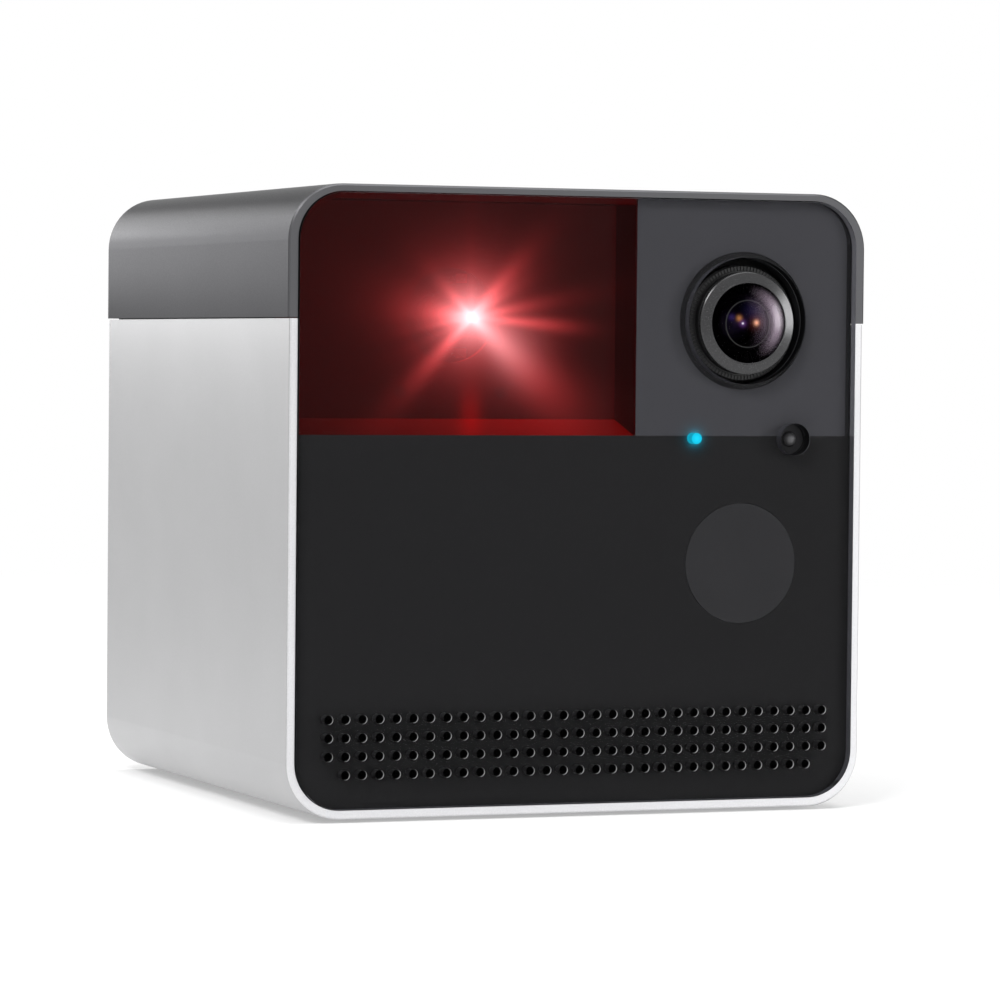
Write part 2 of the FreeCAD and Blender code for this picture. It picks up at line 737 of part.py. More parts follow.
def make_cap():
    """Moulded cap: roof, two skirts, screw channels and a lip that drops into the shell."""
    piece = Piece("top_cap")
    piece.pad("XZ", "rim_y", "rear_y", outline(
        ("-cap_half", "seam_z"), ("cap_half", "seam_z"),
        ("cap_half", "overall_height", "corner_radius"),
        ("-cap_half", "overall_height", "corner_radius")))
    below = "seam_z - overcut"
    piece.pocket("XZ", "rim_y", "rear_y", outline(
        ("-inner_half", below), ("inner_half", below),
        ("inner_half", "roof_z", "inner_corner"),
        ("-inner_half", "roof_z", "inner_corner")))
    lip_front = "chamber_out + slide_gap"
    for side in SIDES:
        inner = f"{side}(inner_half - lip_thick)"
        wall = f"{side}(inner_half + shell_wall / 2)"
        face = f"{side}glass_half"
        piece.pad("XZ", lip_front, "cover_in",
                  rect(inner, wall, "seam_z", "seam_z + lip_rise"))
        piece.pad("XZ", lip_front, "cover_in",
                  rect(inner, face, "seam_z - lip_drop", "seam_z + lip_rise / 2"))
        front = "sensor_board_back + board_screw_tall + slide_gap" if side == "" else "chamber_out"
        spot = (side + "channel_x", "channel_high")
        piece.pad("XZ", front, "cover_in", ring(*spot, "channel_radius"))
        piece.pocket("XZ", front, "cover_in", ring(*spot, "pilot_radius"))
    piece.chamfer(on_front_rim, "edge_chamfer")


def case_screw(name, across, head, up, inward):
    """A pan-head screw along Y, its head's outer face at head, driven along inward."""
    under = f"{head} {inward} screw_head"
    tip = f"{under} {inward} screw_length"
    spans = [(head, under), (under, tip)]
    if inward == "-":
        spans = [(high, low) for low, high in spans]
    return fuse(
        name,
        rod(name + "_head", "y", across, spans[0], up, "screw_head_radius"),
        rod(name + "_shank", "y", across, spans[1], up, "screw_radius"),
    )


def make_case_screws():
    """Two screws through the front frame and four through the back cover."""
    screws = []
    for number, side in enumerate(SIDES):
        across = side + "channel_x"
        screws.append(case_screw(f"front_screw_{number}", across, "frame_y", "channel_low", "+"))
        for row, up in (("low", "channel_low"), ("high", "channel_high")):
            name = f"back_screw_{row}_{number}"
            screws.append(case_screw(name, across, "cover_out", up, "-"))
    node("case_screws", group("case_screws", screws))


def make_foot():
    """Rubber pad let into the shell's underside, open round the tripod socket."""
    piece = Piece("foot_pad")
    half = "(foot_side / 2 - fit_gap)"
    span = ("0", "foot_proud + foot_recess")
    piece.pad("XY", *span, rect(f"-{half}", half, f"base_y - {half}", f"base_y + {half}",
                                "foot_corner - fit_gap"))
    piece.pocket("XY", *span, ring("0", "base_y", "foot_hole"))


def make_tripod_insert():
    """Blind threaded insert, flush with the shell's underside."""
    piece = Piece("tripod_insert")
    top = "foot_proud + insert_height"
    piece.pad("XY", "foot_proud", top, ring("0", "base_y", "insert_radius"))
    piece.pocket("XY", "foot_proud", "foot_proud + thread_depth",
                 ring("0", "base_y", "thread_radius"))


# ---------------------------------------------------------------- front

def drill_grille(piece, low, high):
    """The rows of speaker holes, the last row one hole shorter at each end."""
    full_rows = int(value("grille_rows")) - 1
    rings = [ring("grille_x", f"grille_z - {row} * grille_row_pitch", "grille_hole")
             for row in range(full_rows)]
    column = piece.pocket("XZ", low, high, *rings)
    piece.row(column, "grille_columns", "grille_pitch")
    last = ring("grille_x + grille_pitch", "grille_low", "grille_hole")
    single = piece.pocket("XZ", low, high, last)
    piece.row(single, "grille_columns - 2", "grille_pitch")


def bore_edge(edge):
    """True for the window bore's front edge and the window's own front outline."""
    face = value("front_y")
    ends = [edge.valueAt(edge.FirstParameter), edge.valueAt(edge.LastParameter)]
    if any(abs(point.y - face) > 1e-4 for point in ends):
        return False
    if edge.Curve.TypeId != "Part::GeomCircle":
        return True
    return edge.Curve.Radius > value("glass_corner") - 0.05


def make_window():
    """Clear front plate with the lens bore, the small holes and the grille."""
    piece = Piece("front_window")
    span = ("front_y", "mask_y")
    piece.pad("XZ", *span,
              rect("-glass_half", "glass_half", "glass_low", "glass_high", "glass_corner"))
    piece.pocket("XZ", *span, ring("lens_x", "bore_z", "bore_radius"))
    piece.pocket("XZ", *span, ring("sensor_x", "sensor_z", "sensor_hole"))
    piece.pocket("XZ", *span, ring("led_x", "led_z", "led_radius + running_gap"))
    drill_grille(piece, *span)
    piece.chamfer(bore_edge, "edge_chamfer / 2")


def make_front_mask():
    """Black layer behind the lower window, open at the night light and the holes."""
    piece = Piece("front_mask")
    span = ("mask_y", "frame_y")
    piece.pad("XZ", *span, outline(
        ("-glass_half", "glass_low", "glass_corner"),
        ("glass_half", "glass_low", "glass_corner"),
        ("glass_half", "zone_z"), ("-glass_half", "zone_z")))
    piece.pocket("XZ", *span, ring("sensor_x", "sensor_z", "sensor_hole"))
    piece.pocket("XZ", *span, ring("led_x", "led_z", "led_radius + running_gap"))
    piece.pocket("XZ", *span, ring("lens_x", "ir_z", "ir_radius"))
    drill_grille(piece, *span)


def make_camera_mask():
    """Grey layer behind the upper right window, round the lens bore."""
    piece = Piece("camera_mask")
    span = ("mask_y", "frame_y")
    side = "glass_half - side_margin"
    top = "glass_high - top_margin"
    piece.pad("XZ", *span, outline(
        ("split_x", "zone_z"), (side, "zone_z"),
        (side, top, "glass_corner - side_margin"), ("split_x", top)))
    piece.pocket("XZ", *span, ring("lens_x", "bore_z", "bore_radius + bore_margin"))
    piece.pocket("XZ", *span, ring("sensor_x", "sensor_z", "sensor_hole"))
    piece.pocket("XZ", *span, ring("led_x", "led_z", "led_radius + running_gap"))


def make_laser_filter():
    """Red plate behind the upper left window."""
    piece = Piece("laser_filter")
    piece.pad("XZ", "mask_y", "filter_back", outline(
        ("-glass_half", "zone_z"), ("split_x", "zone_z"),
        ("split_x", "glass_high"), ("-glass_half", "glass_high", "glass_corner")))


def camera_posts():
    """The four posts' axes, as (x, z)."""
    return [(f"lens_x {across} post_reach", f"lens_z {up} post_reach")
            for across in "-+" for up in "-+"]


def front_stands():
    """The four stands of the front board, as (x, z)."""
    low = "front_board_low + front_board_margin"
    high = "sensor_z - sensor_hole - post_radius - overcut"
    return [(f"lens_x {across} front_stand_reach", up)
            for across in "-+" for up in (low, high)]


def make_front_frame():
    """Moulded plate behind the window: it leaves the laser chamber's corner open and
    carries the camera's posts and the front board's stands."""
    piece = Piece("front_frame")
    span = ("frame_y", "frame_back")
    piece.pad("XZ", *span,
              rect("-glass_half", "glass_half", "glass_low", "glass_high", "glass_corner"))
    low = "chamber_low - fit_gap"
    right = "chamber_right + fit_gap"
    piece.pocket("XZ", *span, outline(
        ("-half_width", low), (right, low),
        (right, "overall_height"), ("-half_width", "overall_height")))
    piece.pocket("XZ", *span, ring("lens_x", "bore_z", "bore_radius"))
    piece.pocket("XZ", *span, ring("sensor_x", "sensor_z", "sensor_hole"))
    piece.pocket("XZ", *span, ring("led_x", "led_z", "led_radius + running_gap"))
    piece.pocket("XZ", "frame_y", "mask_y + ir_thick", ring("lens_x", "ir_z", "ir_radius"))
    piece.pocket("XZ", "mask_y + ir_thick", "frame_back",
                 ring("lens_x", "ir_z", "ir_radius - ir_ledge"))
    for side in SIDES:
        spot = (side + "channel_x", "channel_low")
        piece.pocket("XZ", "frame_y", "frame_y + screw_head", ring(*spot, "screw_head_radius"))
        piece.pocket("XZ", "frame_y + screw_head", "frame_back", ring(*spot, "screw_radius"))
    for spot in camera_posts():
        piece.pad("XZ", "frame_back", "sensor_board_front", ring(*spot, "post_radius"))
        piece.pocket("XZ", "sensor_board_front - board_screw_length", "sensor_board_front",
                     ring(*spot, "board_screw_radius"))
    for spot in front_stands():
        piece.pad("XZ", "frame_back", "front_board_front", ring(*spot, "post_radius"))
        piece.pocket("XZ", "front_board_front + board_thick - board_screw_length",
                     "front_board_front", ring(*spot, "board_screw_radius"))
    drill_grille(piece, *span)


def make_night_light():
    """Dark infrared disc in the frame's seat, with four emitters behind it."""
    piece = Piece("ir_window")
    piece.pad("XZ", "mask_y", "mask_y + ir_thick",
              ring("lens_x", "ir_z", "ir_radius - fit_gap / 2"))
    emitters = []
    for across in "-+":
        for up in "-+":
            middle_x = f"lens_x {across} ir_led_reach"
            middle_z = f"ir_z {up} ir_led_reach"
            emitters.append(block(
                f"emitter_{len(emitters)}",
                (f"{middle_x} - ir_led_half", f"{middle_x} + ir_led_half"),
                ("front_board_front - ir_led_tall", "front_board_front"),
                (f"{middle_z} - ir_led_half", f"{middle_z} + ir_led_half")))
    node("ir_leds", group("ir_leds", emitters))


def make_front_board():
    """Board on the frame's stands, for the emitters, status light and light sensor."""
    piece = Piece("front_board")
    span = ("front_board_front", "front_board_front + board_thick")
    half = "(front_stand_reach + front_board_margin)"
    piece.pad("XZ", *span, rect(f"lens_x - {half}", f"lens_x + {half}", "front_board_low",
                                "front_board_high", "board_corner"))
    for spot in front_stands():
        piece.pocket("XZ", *span, ring(*spot, "board_screw_radius"))


def make_status_light():
    """Clear light pipe flush with the window, on the emitter that lights it."""
    pipe = Piece("status_light_pipe")
    emitter = "front_board_front - led_half"
    pipe.pad("XZ", "front_y", emitter, ring("led_x", "led_z", "led_radius"))
    node("status_led", block(
        "status_led", ("led_x - led_half", "led_x + led_half"),
        (emitter, "front_board_front"), ("led_z - led_half / 2", "led_z + led_half / 2")))


def make_light_sensor():
    """Domed light sensor in a rubber boot at the bottom of its recess."""
    boot = Piece("sensor_boot")
    seat = "front_y + sensor_recess"
    spot = ("sensor_x", "sensor_z")
    boot.pad("XZ", seat, "front_board_front", ring(*spot, "sensor_hole - running_gap"))
    boot.pocket("XZ", seat, "front_board_front", ring(*spot, "sensor_radius + running_gap"))
    stem = rod("sensor_stem", "y", "sensor_x", (seat, "front_board_front"), "sensor_z",
               "sensor_radius")
    dome = ball("sensor_dome", "sensor_x", seat, "sensor_z", "sensor_radius")
    node("light_sensor", fuse("light_sensor", stem, dome))


def make_microphone():
    """Microphone behind the mesh at the grille's left end."""
    node("microphone", cut(
        "microphone",
        block("mic_can", ("grille_x - mic_half", "grille_x + mic_half"),
              ("box_front", "box_front + mic_thick"),
              ("grille_z - mic_half", "grille_z + mic_half")),
        rod("mic_hole", "y", "grille_x", ("box_front", "box_front + mic_thick / 2"),
            "grille_z", "mic_port")))


# ---------------------------------------------------------------- camera

def make_lens_barrel():
    """Turned barrel: plain nose, knurled shoulder and threaded tail."""
    piece = Piece("lens_barrel")
    back_of_shoulder = "shoulder_depth + shoulder_thick"
    piece.turn(
        ("dome_radius + lens_slip", "ring_thick"), ("ring_radius", "ring_thick"),
        ("ring_radius", "shoulder_depth"), ("shoulder_radius", "shoulder_depth"),
        ("shoulder_radius", back_of_shoulder), ("thread_m12", back_of_shoulder),
        ("thread_m12", "barrel_end"), ("barrel_bore", "barrel_end"),
        ("barrel_bore", "dome_seat"), ("dome_radius + lens_slip", "dome_seat"))
    piece.place("lens_x", "front_y", "lens_z")


def make_retaining_ring():
    """Conical ring that holds the front lens."""
    piece = Piece("lens_retaining_ring")
    rim = "dome_rise - lens_proud"
    inner = "dome_radius + running_gap"
    piece.turn((inner, rim), ("ring_radius", f"{rim} + ring_fall"),
               ("ring_radius", "ring_thick"), (inner, "ring_thick"))
    piece.place("lens_x", "front_y", "lens_z")


def make_front_lens():
    """Wide-angle front lens: a crowned face and a hollow back."""
    crown = "(dome_radius * dome_radius + dome_rise * dome_rise) / (2 * dome_rise)"
    apex = "front_y - lens_proud"
    face = ball("dome_face", "lens_x", f"{apex} + {crown}", "lens_z", crown)
    edge = rod("dome_edge", "y", "lens_x", (f"{apex} - overcut", "front_y + dome_seat"),
               "lens_z", "dome_radius")
    hollow = ball("dome_back", "lens_x", "front_y + dome_seat + dome_hollow_set", "lens_z",
                  "dome_hollow")
    node("lens_dome", cut("lens_dome", common("dome_blank", face, edge), hollow))


def make_inner_lens():
    """Second lens, seen through the first."""
    front = "front_y + dome_seat + inner_lens_set"
    back = f"{front} + inner_lens_thick"
    edge = rod("inner_edge", "y", "lens_x", (front, back), "lens_z", "barrel_bore")
    face = ball("inner_face", "lens_x", f"{front} + inner_lens_crown", "lens_z",
                "inner_lens_crown")
    node("inner_lens", common("inner_lens", edge, face))


def make_lens_holder():
    """Block on the sensor board that the barrel screws into, hollow for the filter."""
    piece = Piece("lens_holder")
    front = "front_y + holder_front"
    tray = "front_y + tray_front"
    piece.pad("XZ", front, "sensor_board_front",
              rect("lens_x - holder_half_x", "lens_x + holder_half_x",
                   "lens_z - holder_half_z", "lens_z + holder_half_z", "board_corner"))
    piece.pocket("XZ", front, tray, ring("lens_x", "lens_z", "thread_m12"))
    half = "filter_travel + filter_pane + filter_rim + slide_gap"
    piece.pocket("XZ", tray, "sensor_board_front",
                 rect(f"lens_x - ({half})", f"lens_x + ({half})",
                      "lens_z - tray_half_z", "lens_z + tray_half_z"))


def make_night_filter():
    """Slider with two panes, one of them the infrared-cut glass."""
    slider = Piece("filter_slide")
    front = "front_y + tray_front + slide_gap"
    span = (front, f"{front} + filter_plate")
    half_z = "tray_half_z - slide_gap"
    slider.pad("XZ", *span, rect(
        "lens_x - filter_travel - filter_pane - filter_rim",
        "lens_x + filter_pane + filter_rim",
        f"lens_z - ({half_z})", f"lens_z + ({half_z})"))
    for middle in ("lens_x", "lens_x - filter_travel"):
        slider.pocket("XZ", *span, rect(
            f"{middle} - filter_pane", f"{middle} + filter_pane",
            "lens_z - filter_pane", "lens_z + filter_pane"))
    pane = "filter_pane - running_gap"
    node("filter_glass", block(
        "filter_glass", (f"lens_x - ({pane})", f"lens_x + ({pane})"),
        (f"{front} + filter_plate / 4", f"{front} + filter_plate * 3 / 4"),
        (f"lens_z - ({pane})", f"lens_z + ({pane})")))


def make_sensor_board():
    """Sensor board on the camera posts, with the image sensor."""
    board = Piece("sensor_board")
    span = ("sensor_board_front", "sensor_board_back")
    board.pad("XZ", *span, rect(
        "lens_x - sensor_board_half", "lens_x + sensor_board_half",
        "lens_z - sensor_board_half", "lens_z + sensor_board_half", "board_corner"))
    for spot in camera_posts():
        board.pocket("XZ", *span, ring(*spot, "board_screw_radius"))
    node("image_sensor", block(
        "image_sensor", ("lens_x - chip_half", "lens_x + chip_half"),
        ("sensor_board_front - chip_thick", "sensor_board_front"),
        ("lens_z - chip_half", "lens_z + chip_half")))


def make_camera_ribbon():
    """Flat cable from the sensor board's back down to the main board."""
    piece = Piece("camera_ribbon")
    near = "sensor_board_back"
    far = "sensor_board_back + ribbon_thick"
    low = "board_top"
    high = "board_top + ribbon_thick"
    top = "lens_z - sensor_board_half + ribbon_root"
    end = "sensor_board_back + ribbon_run"
    piece.pad("YZ", "lens_x - ribbon_half", "lens_x + ribbon_half", outline(
        (near, top), (near, low, "ribbon_bend + ribbon_thick"), (end, low),
        (end, high), (far, high, "ribbon_bend"), (far, top)))


# ---------------------------------------------------------------- laser

def make_chamber():
    """Box behind the red filter, with a floor that climbs to the back wall."""
    piece = Piece("laser_chamber")
    piece.pad("XZ", "filter_back", "chamber_out", outline(
        ("-glass_half", "chamber_low"), ("chamber_right", "chamber_low"),
        ("chamber_right", "glass_high"), ("-glass_half", "glass_high", "glass_corner")))
    piece.pocket("XZ", "filter_back", "chamber_in", outline(
        ("chamber_wall - glass_half", "zone_z"), ("split_x", "zone_z"),
        ("split_x", "glass_high - chamber_wall"),
        ("chamber_wall - glass_half", "glass_high - chamber_wall",
         "glass_corner - chamber_wall")))
    sunk = "zone_z - chamber_wall / 2"
    deep = "chamber_in + chamber_back / 2"
    piece.pad("YZ", "chamber_wall / 2 - glass_half", "split_x + chamber_wall / 2", outline(
        ("filter_back", sunk), (deep, sunk), (deep, "zone_z + ramp_rise"),
        ("chamber_in", "zone_z + ramp_rise"), ("filter_back", "zone_z")))
    piece.pocket("XZ", "chamber_in", "chamber_out",
                 ring("laser_x", "laser_z", "aperture_radius"))
    for spot in bracket_holes():
        piece.pocket("XZ", "chamber_in", "chamber_out", ring(*spot, "board_screw_radius"))


def bracket_holes():
    """The laser bracket's two screws, as (x, z)."""
    reach = "(bracket_half - bracket_screw_inset)"
    return [(f"laser_x {side} {reach}", "bracket_top + bracket_flange / 2") for side in "-+"]


def make_laser_bracket():
    """Angle bracket on the chamber's back wall that carries the pan bearing and motor."""
    piece = Piece("laser_bracket")
    left = "laser_x - bracket_half"
    right = "laser_x + bracket_half"
    far = "pan_motor_y + pan_motor_radius"
    piece.pad("XY", "bracket_low", "bracket_top", rect(left, right, "chamber_out", far))
    piece.pad("XY", "bracket_top", "bracket_top + bracket_flange",
              rect(left, right, "chamber_out", "chamber_out + bracket_flange_thick"))
    piece.pocket("XY", "bracket_low", "bracket_top", ring("laser_x", "pan_y", "bush_radius"))
    piece.pocket("XY", "bracket_low", "bracket_top",
                 ring("laser_x", "pan_motor_y", "shaft_radius + slide_gap"))
    for spot in bracket_holes():
        piece.pocket("XZ", "chamber_out", "chamber_out + bracket_flange_thick",
                     ring(*spot, "board_screw_radius"))


def make_pan_bush():
    """Flanged bush for the pan pin."""
    piece = Piece("pan_bush")
    piece.pad("XY", "bracket_low", "bracket_top", ring("laser_x", "pan_y", "bush_radius"))
    piece.pad("XY", "bracket_top", "bush_top", ring("laser_x", "pan_y", "bush_radius + bush_flange"))
    piece.pocket("XY", "bracket_low", "bush_top",
                 ring("laser_x", "pan_y", "pin_radius + running_gap"))


def make_pan_motor():
    """Small stepping motor under the bracket."""
    body = rod("pan_can", "z", "laser_x", "pan_motor_y",
               ("bracket_low - pan_motor_length", "bracket_low"), "pan_motor_radius")
    bearing = rod("pan_can_hole", "z", "laser_x", "pan_motor_y",
                  ("bracket_low - shaft_bore", "bracket_low"), "shaft_radius + running_gap")
    node("pan_motor", cut("pan_motor", body, bearing))


TOOTH_RISE = "0.7 * gear_module"
TOOTH_FALL = "1.2 * gear_module"
TOOTH_TIP = "0.29 * gear_module"
TOOTH_FOOT = "0.95 * gear_module"


def cut_teeth(piece, plane, axis, teeth, high, upright=False):
    """A toothed disc about an origin axis, with straight-sided low teeth. Its first tooth
    points along the sketch's first direction, or its second where upright is set."""
    pitch = f"gear_module * {teeth} / 2"
    root = f"{pitch} - {TOOTH_FALL}"
    tip = f"{pitch} + {TOOTH_RISE}"
    piece.pad(plane, "0", high, ring("0", "0", root))
    sunk = f"{root} - gear_module / 2"
    corners = [(sunk, f"-{TOOTH_FOOT}"), (root, f"-{TOOTH_FOOT}"), (tip, f"-{TOOTH_TIP}"),
               (tip, TOOTH_TIP), (root, TOOTH_FOOT), (sunk, TOOTH_FOOT)]
    if upright:
        corners = [(across, out) for out, across in corners]
    tooth = piece.pad(plane, "0", high, outline(*corners))
    piece.circle_of(tooth, teeth, axis)


def make_pan_gear():
    """Toothed sector under the yoke, with its teeth to the back."""
    piece = Piece("pan_gear")
    cut_teeth(piece, "XY", "Z_Axis", "pan_teeth", "gear_thick")
    reach = "(pan_radius + overcut)"
    piece.pocket("XY", "0", "gear_thick", rect(f"-{reach}", reach, f"-{reach}", "sector_margin"))
    piece.pad("XY", "0", "gear_thick", ring("0", "0", "hub_radius"))
    piece.pocket("XY", "0", "gear_thick", ring("0", "0", "pin_radius"))
    piece.place("laser_x", "pan_y", "pan_gear_low")


def make_pan_pinion():
    """Pinion and shaft of the pan motor."""
    piece = Piece("pan_pinion")
    cut_teeth(piece, "XY", "Z_Axis", "pinion_teeth", "gear_thick", upright=True)
    shaft = "bracket_low - shaft_grip - pan_gear_low"
    piece.pad("XY", shaft, "gear_thick / 2", ring("0", "0", "shaft_radius"))
    piece.place("laser_x", "pan_motor_y", "pan_gear_low")


def make_pan_yoke():
    """Forked yoke on the pan pin: it holds the cradle's trunnions and the tilt motor."""
    piece = Piece("pan_yoke")
    piece.pad("XY", "pan_gear_top", "yoke_z", rect(
        "laser_x - arm_out", "laser_x + arm_out", "pan_y - arm_reach", "pan_y + arm_reach"))
    piece.pad("XY", "bracket_low", "yoke_z - yoke_plate / 2",
              ring("laser_x", "pan_y", "pin_radius"))
    top = "laser_z + cradle_half"
    left = ("laser_x - arm_out", "laser_x - arm_in")
    right = ("laser_x + arm_in", "laser_x + arm_out")
    for span in (left, right):
        piece.pad("YZ", *span, rect("pan_y - arm_reach", "pan_y + arm_reach",
                                    "pan_gear_top", top))
    piece.pad("YZ", *right, rect(
        "pan_y", "tilt_motor_y + tilt_motor_radius",
        "laser_z - tilt_motor_radius", top))
    for span in (left, right):
        piece.pocket("YZ", *span, ring("pan_y", "laser_z", "pin_radius + running_gap"))
    piece.pocket("YZ", *right, ring("tilt_motor_y", "laser_z", "shaft_radius + slide_gap"))


def make_cradle():
    """Sleeve that grips the laser barrel, with a trunnion at each side."""
    box = block("cradle_block",
                ("laser_x - cradle_half", "laser_x + cradle_half"),
                ("pan_y - cradle_reach", "pan_y + cradle_reach"),
                ("laser_z - cradle_half", "laser_z + cradle_half"))
    pins = rod("cradle_pins", "x", ("laser_x - arm_out", "laser_x + arm_out"), "pan_y",
               "laser_z", "pin_radius")
    bore = rod("cradle_bore", "y", "laser_x",
               ("pan_y - cradle_reach - overcut", "pan_y + cradle_reach + overcut"), "laser_z",
               "laser_radius")
    node("laser_cradle", cut("laser_cradle", fuse("cradle_solid", box, pins), bore))


def make_laser():
    """Brass laser barrel and its collimating lens."""
    front = "pan_y - laser_front"
    barrel = rod("laser_tube", "y", "laser_x", (front, "pan_y + laser_rear"), "laser_z",
                 "laser_radius")
    floor = f"{front} + laser_mouth_depth"
    hollow = rod("laser_hollow", "y", "laser_x", (f"{front} - overcut", floor), "laser_z",
                 "laser_mouth")
    node("laser_module", cut("laser_module", barrel, hollow))
    face = f"{front} + laser_lens_set"
    edge = rod("laser_lens_edge", "y", "laser_x", (face, floor), "laser_z", "laser_mouth")
    face = ball("laser_lens_face", "laser_x", f"{face} + laser_radius", "laser_z",
                "laser_radius")
    node("laser_lens", common("laser_lens", edge, face))


def make_tilt_gear():
    """Toothed sector on the right trunnion, with its teeth to the back."""
    piece = Piece("tilt_gear")
    cut_teeth(piece, "YZ", "X_Axis", "tilt_teeth", "gear_thick")
    reach = "(tilt_radius + overcut)"
    piece.pocket("YZ", "0", "gear_thick", rect(f"-{reach}", "sector_margin", f"-{reach}", reach))
    piece.pad("YZ", "0", "gear_thick", ring("0", "0", "hub_radius"))
    piece.pocket("YZ", "0", "gear_thick", ring("0", "0", "pin_radius"))
    piece.place("laser_x + cradle_half", "pan_y", "laser_z")


def make_tilt_pinion():
    """Pinion and shaft of the tilt motor."""
    piece = Piece("tilt_pinion")
    cut_teeth(piece, "YZ", "X_Axis", "pinion_teeth", "gear_thick", upright=True)
    piece.pad("YZ", "gear_thick / 2", "arm_out - cradle_half + shaft_grip",
              ring("0", "0", "shaft_radius"))
    piece.place("laser_x + cradle_half", "tilt_motor_y", "laser_z")


def make_tilt_motor():
    """Small stepping motor on the yoke's right arm."""
    body = rod("tilt_can", "x", ("laser_x + arm_out", "laser_x + arm_out + tilt_motor_length"),
               "tilt_motor_y", "laser_z", "tilt_motor_radius")
    bearing = rod("tilt_can_hole", "x",
                  ("laser_x + arm_out", "laser_x + arm_out + shaft_bore"),
                  "tilt_motor_y", "laser_z", "shaft_radius + running_gap")
    node("tilt_motor", cut("tilt_motor", body, bearing))


# ---------------------------------------------------------------- speaker

def stadium(half, radius):
    """A long round-ended outline about the speaker's centre."""
    return rect(f"-({half})", half, f"speaker_z - ({radius})", f"speaker_z + ({radius})",
                f"({radius}) - least_flat")


def make_speaker_mesh():
    """Dust mesh on the back of the grille, narrower along the short last row."""
    piece = Piece("speaker_mesh")
    wide = "(mesh_margin - grille_x)"
    narrow = "(mesh_margin - grille_x - grille_pitch)"
    low = "grille_low - mesh_margin"
    step = "grille_low + grille_row_pitch - mesh_margin"
    top = "grille_z + mesh_margin"
    piece.pad("XZ", "frame_back", "box_front", outline(
        (f"-{narrow}", low), (narrow, low), (narrow, step), (wide, step),
        (wide, top), (f"-{wide}", top), (f"-{wide}", step), (f"-{narrow}", step)))


def make_speaker_box():
    """Sealed box behind the speaker, open to the grille."""
    piece = Piece("speaker_box")
    piece.pad("XZ", "box_front", "box_back",
              rect("-box_half", "box_half", "box_low", "box_high"))
    inner = "(box_half - box_wall)"
    piece.pocket("XZ", "box_front", "box_back - box_wall", rect(
        f"-{inner}", inner, "box_low + box_wall", "box_high - box_wall"))


def make_speaker_basket():
    """Plate in the box's mouth and a tub that holds the magnet."""
    piece = Piece("speaker_basket")
    edge = "(box_half - box_wall - fit_gap)"
    front = "box_front"
    tub_back = "box_front + basket_depth"
    piece.pad("XZ", front, "box_front + basket_thick", rect(
        f"-{edge}", edge, "box_low + box_wall + fit_gap", "box_high - box_wall - fit_gap"))
    piece.pad("XZ", front, tub_back,
              stadium("opening_half + basket_thick", "opening_round + basket_thick"))
    piece.pocket("XZ", front, f"{tub_back} - basket_thick",
                 stadium("opening_half", "opening_round"))
    piece.pocket("XZ", front, tub_back, ring("0", "speaker_z", "magnet_radius"))


def make_speaker_moving():
    """Surround, cone and voice coil."""
    span = ("cone_front", "cone_front + cone_thick")
    surround = Piece("speaker_surround")
    surround.pad("XZ", *span, stadium("opening_half", "opening_round"))
    surround.pocket("XZ", *span,
                    stadium("opening_half - surround_width", "opening_round - surround_width"))
    cone = Piece("speaker_cone")
    reach = "surround_width + slide_gap"
    cone.pad("XZ", *span, stadium(f"opening_half - ({reach})", f"opening_round - ({reach})"))
    coil = Piece("voice_coil")
    tail = ("cone_front + cone_thick", "cone_front + cone_thick + coil_length")
    coil.pad("XZ", *tail, ring("0", "speaker_z", "coil_radius"))
    coil.pocket("XZ", *tail, ring("0", "speaker_z", "coil_radius - coil_wall"))


def make_speaker_magnet():
    """Cup and pole with the coil's gap between them."""
    piece = Piece("speaker_magnet")
    front = "cone_front + cone_thick + magnet_set"
    back = f"{front} + magnet_length"
    piece.pad("XZ", front, back, ring("0", "speaker_z", "magnet_radius"))
    piece.pocket("XZ", front, f"{back} - magnet_back",
                 ring("0", "speaker_z", "coil_radius + coil_gap"))
    piece.pad("XZ", front, f"{back} - magnet_back / 2",
              ring("0", "speaker_z", "coil_radius - coil_wall - coil_gap"))


# ---------------------------------------------------------------- electronics

def stand_spots():
    """The main board's four stands, as (x, y)."""
    return [(side + "stand_x", along) for side in SIDES for along in ("stand_near", "stand_far")]


def make_base_tray():
    """Tray on the shell's floor with four stands, open round the tripod insert."""
    piece = Piece("base_tray")
    piece.pad("XY", "floor_z", "tray_top",
              rect("-tray_half", "tray_half", "tray_near", "cover_in - fit_gap"))
    for spot in stand_spots():
        piece.pad("XY", "tray_top", "board_low", ring(*spot, "stand_radius"))
        piece.pocket("XY", "board_low - board_screw_length", "board_low",
                     ring(*spot, "board_screw_radius"))
    piece.pocket("XY", "floor_z", "tray_top", ring("0", "base_y", "insert_radius + fit_gap"))


def make_main_board():
    """Main board on the tray's stands."""
    piece = Piece("main_board")
    span = ("board_low", "board_top")
    piece.pad("XY", *span,
              rect("-board_half", "board_half", "tray_near", "board_far", "board_corner"))
    for spot in stand_spots():
        piece.pocket("XY", *span, ring(*spot, "board_screw_radius"))


def board_screw(name, axis, spot, face):
    """A small screw whose head sits on a board's far face."""
    first = (face, f"{face} + board_screw_tall")
    second = (f"{face} - board_screw_length", face)
    across, other = spot
    places_head = (across, other, first) if axis == "z" else (across, first, other)
    places_shank = (across, other, second) if axis == "z" else (across, second, other)
    return fuse(
        name,
        rod(name + "_head", axis, *places_head, "board_screw_head"),
        rod(name + "_shank", axis, *places_shank, "board_screw_radius"),
    )


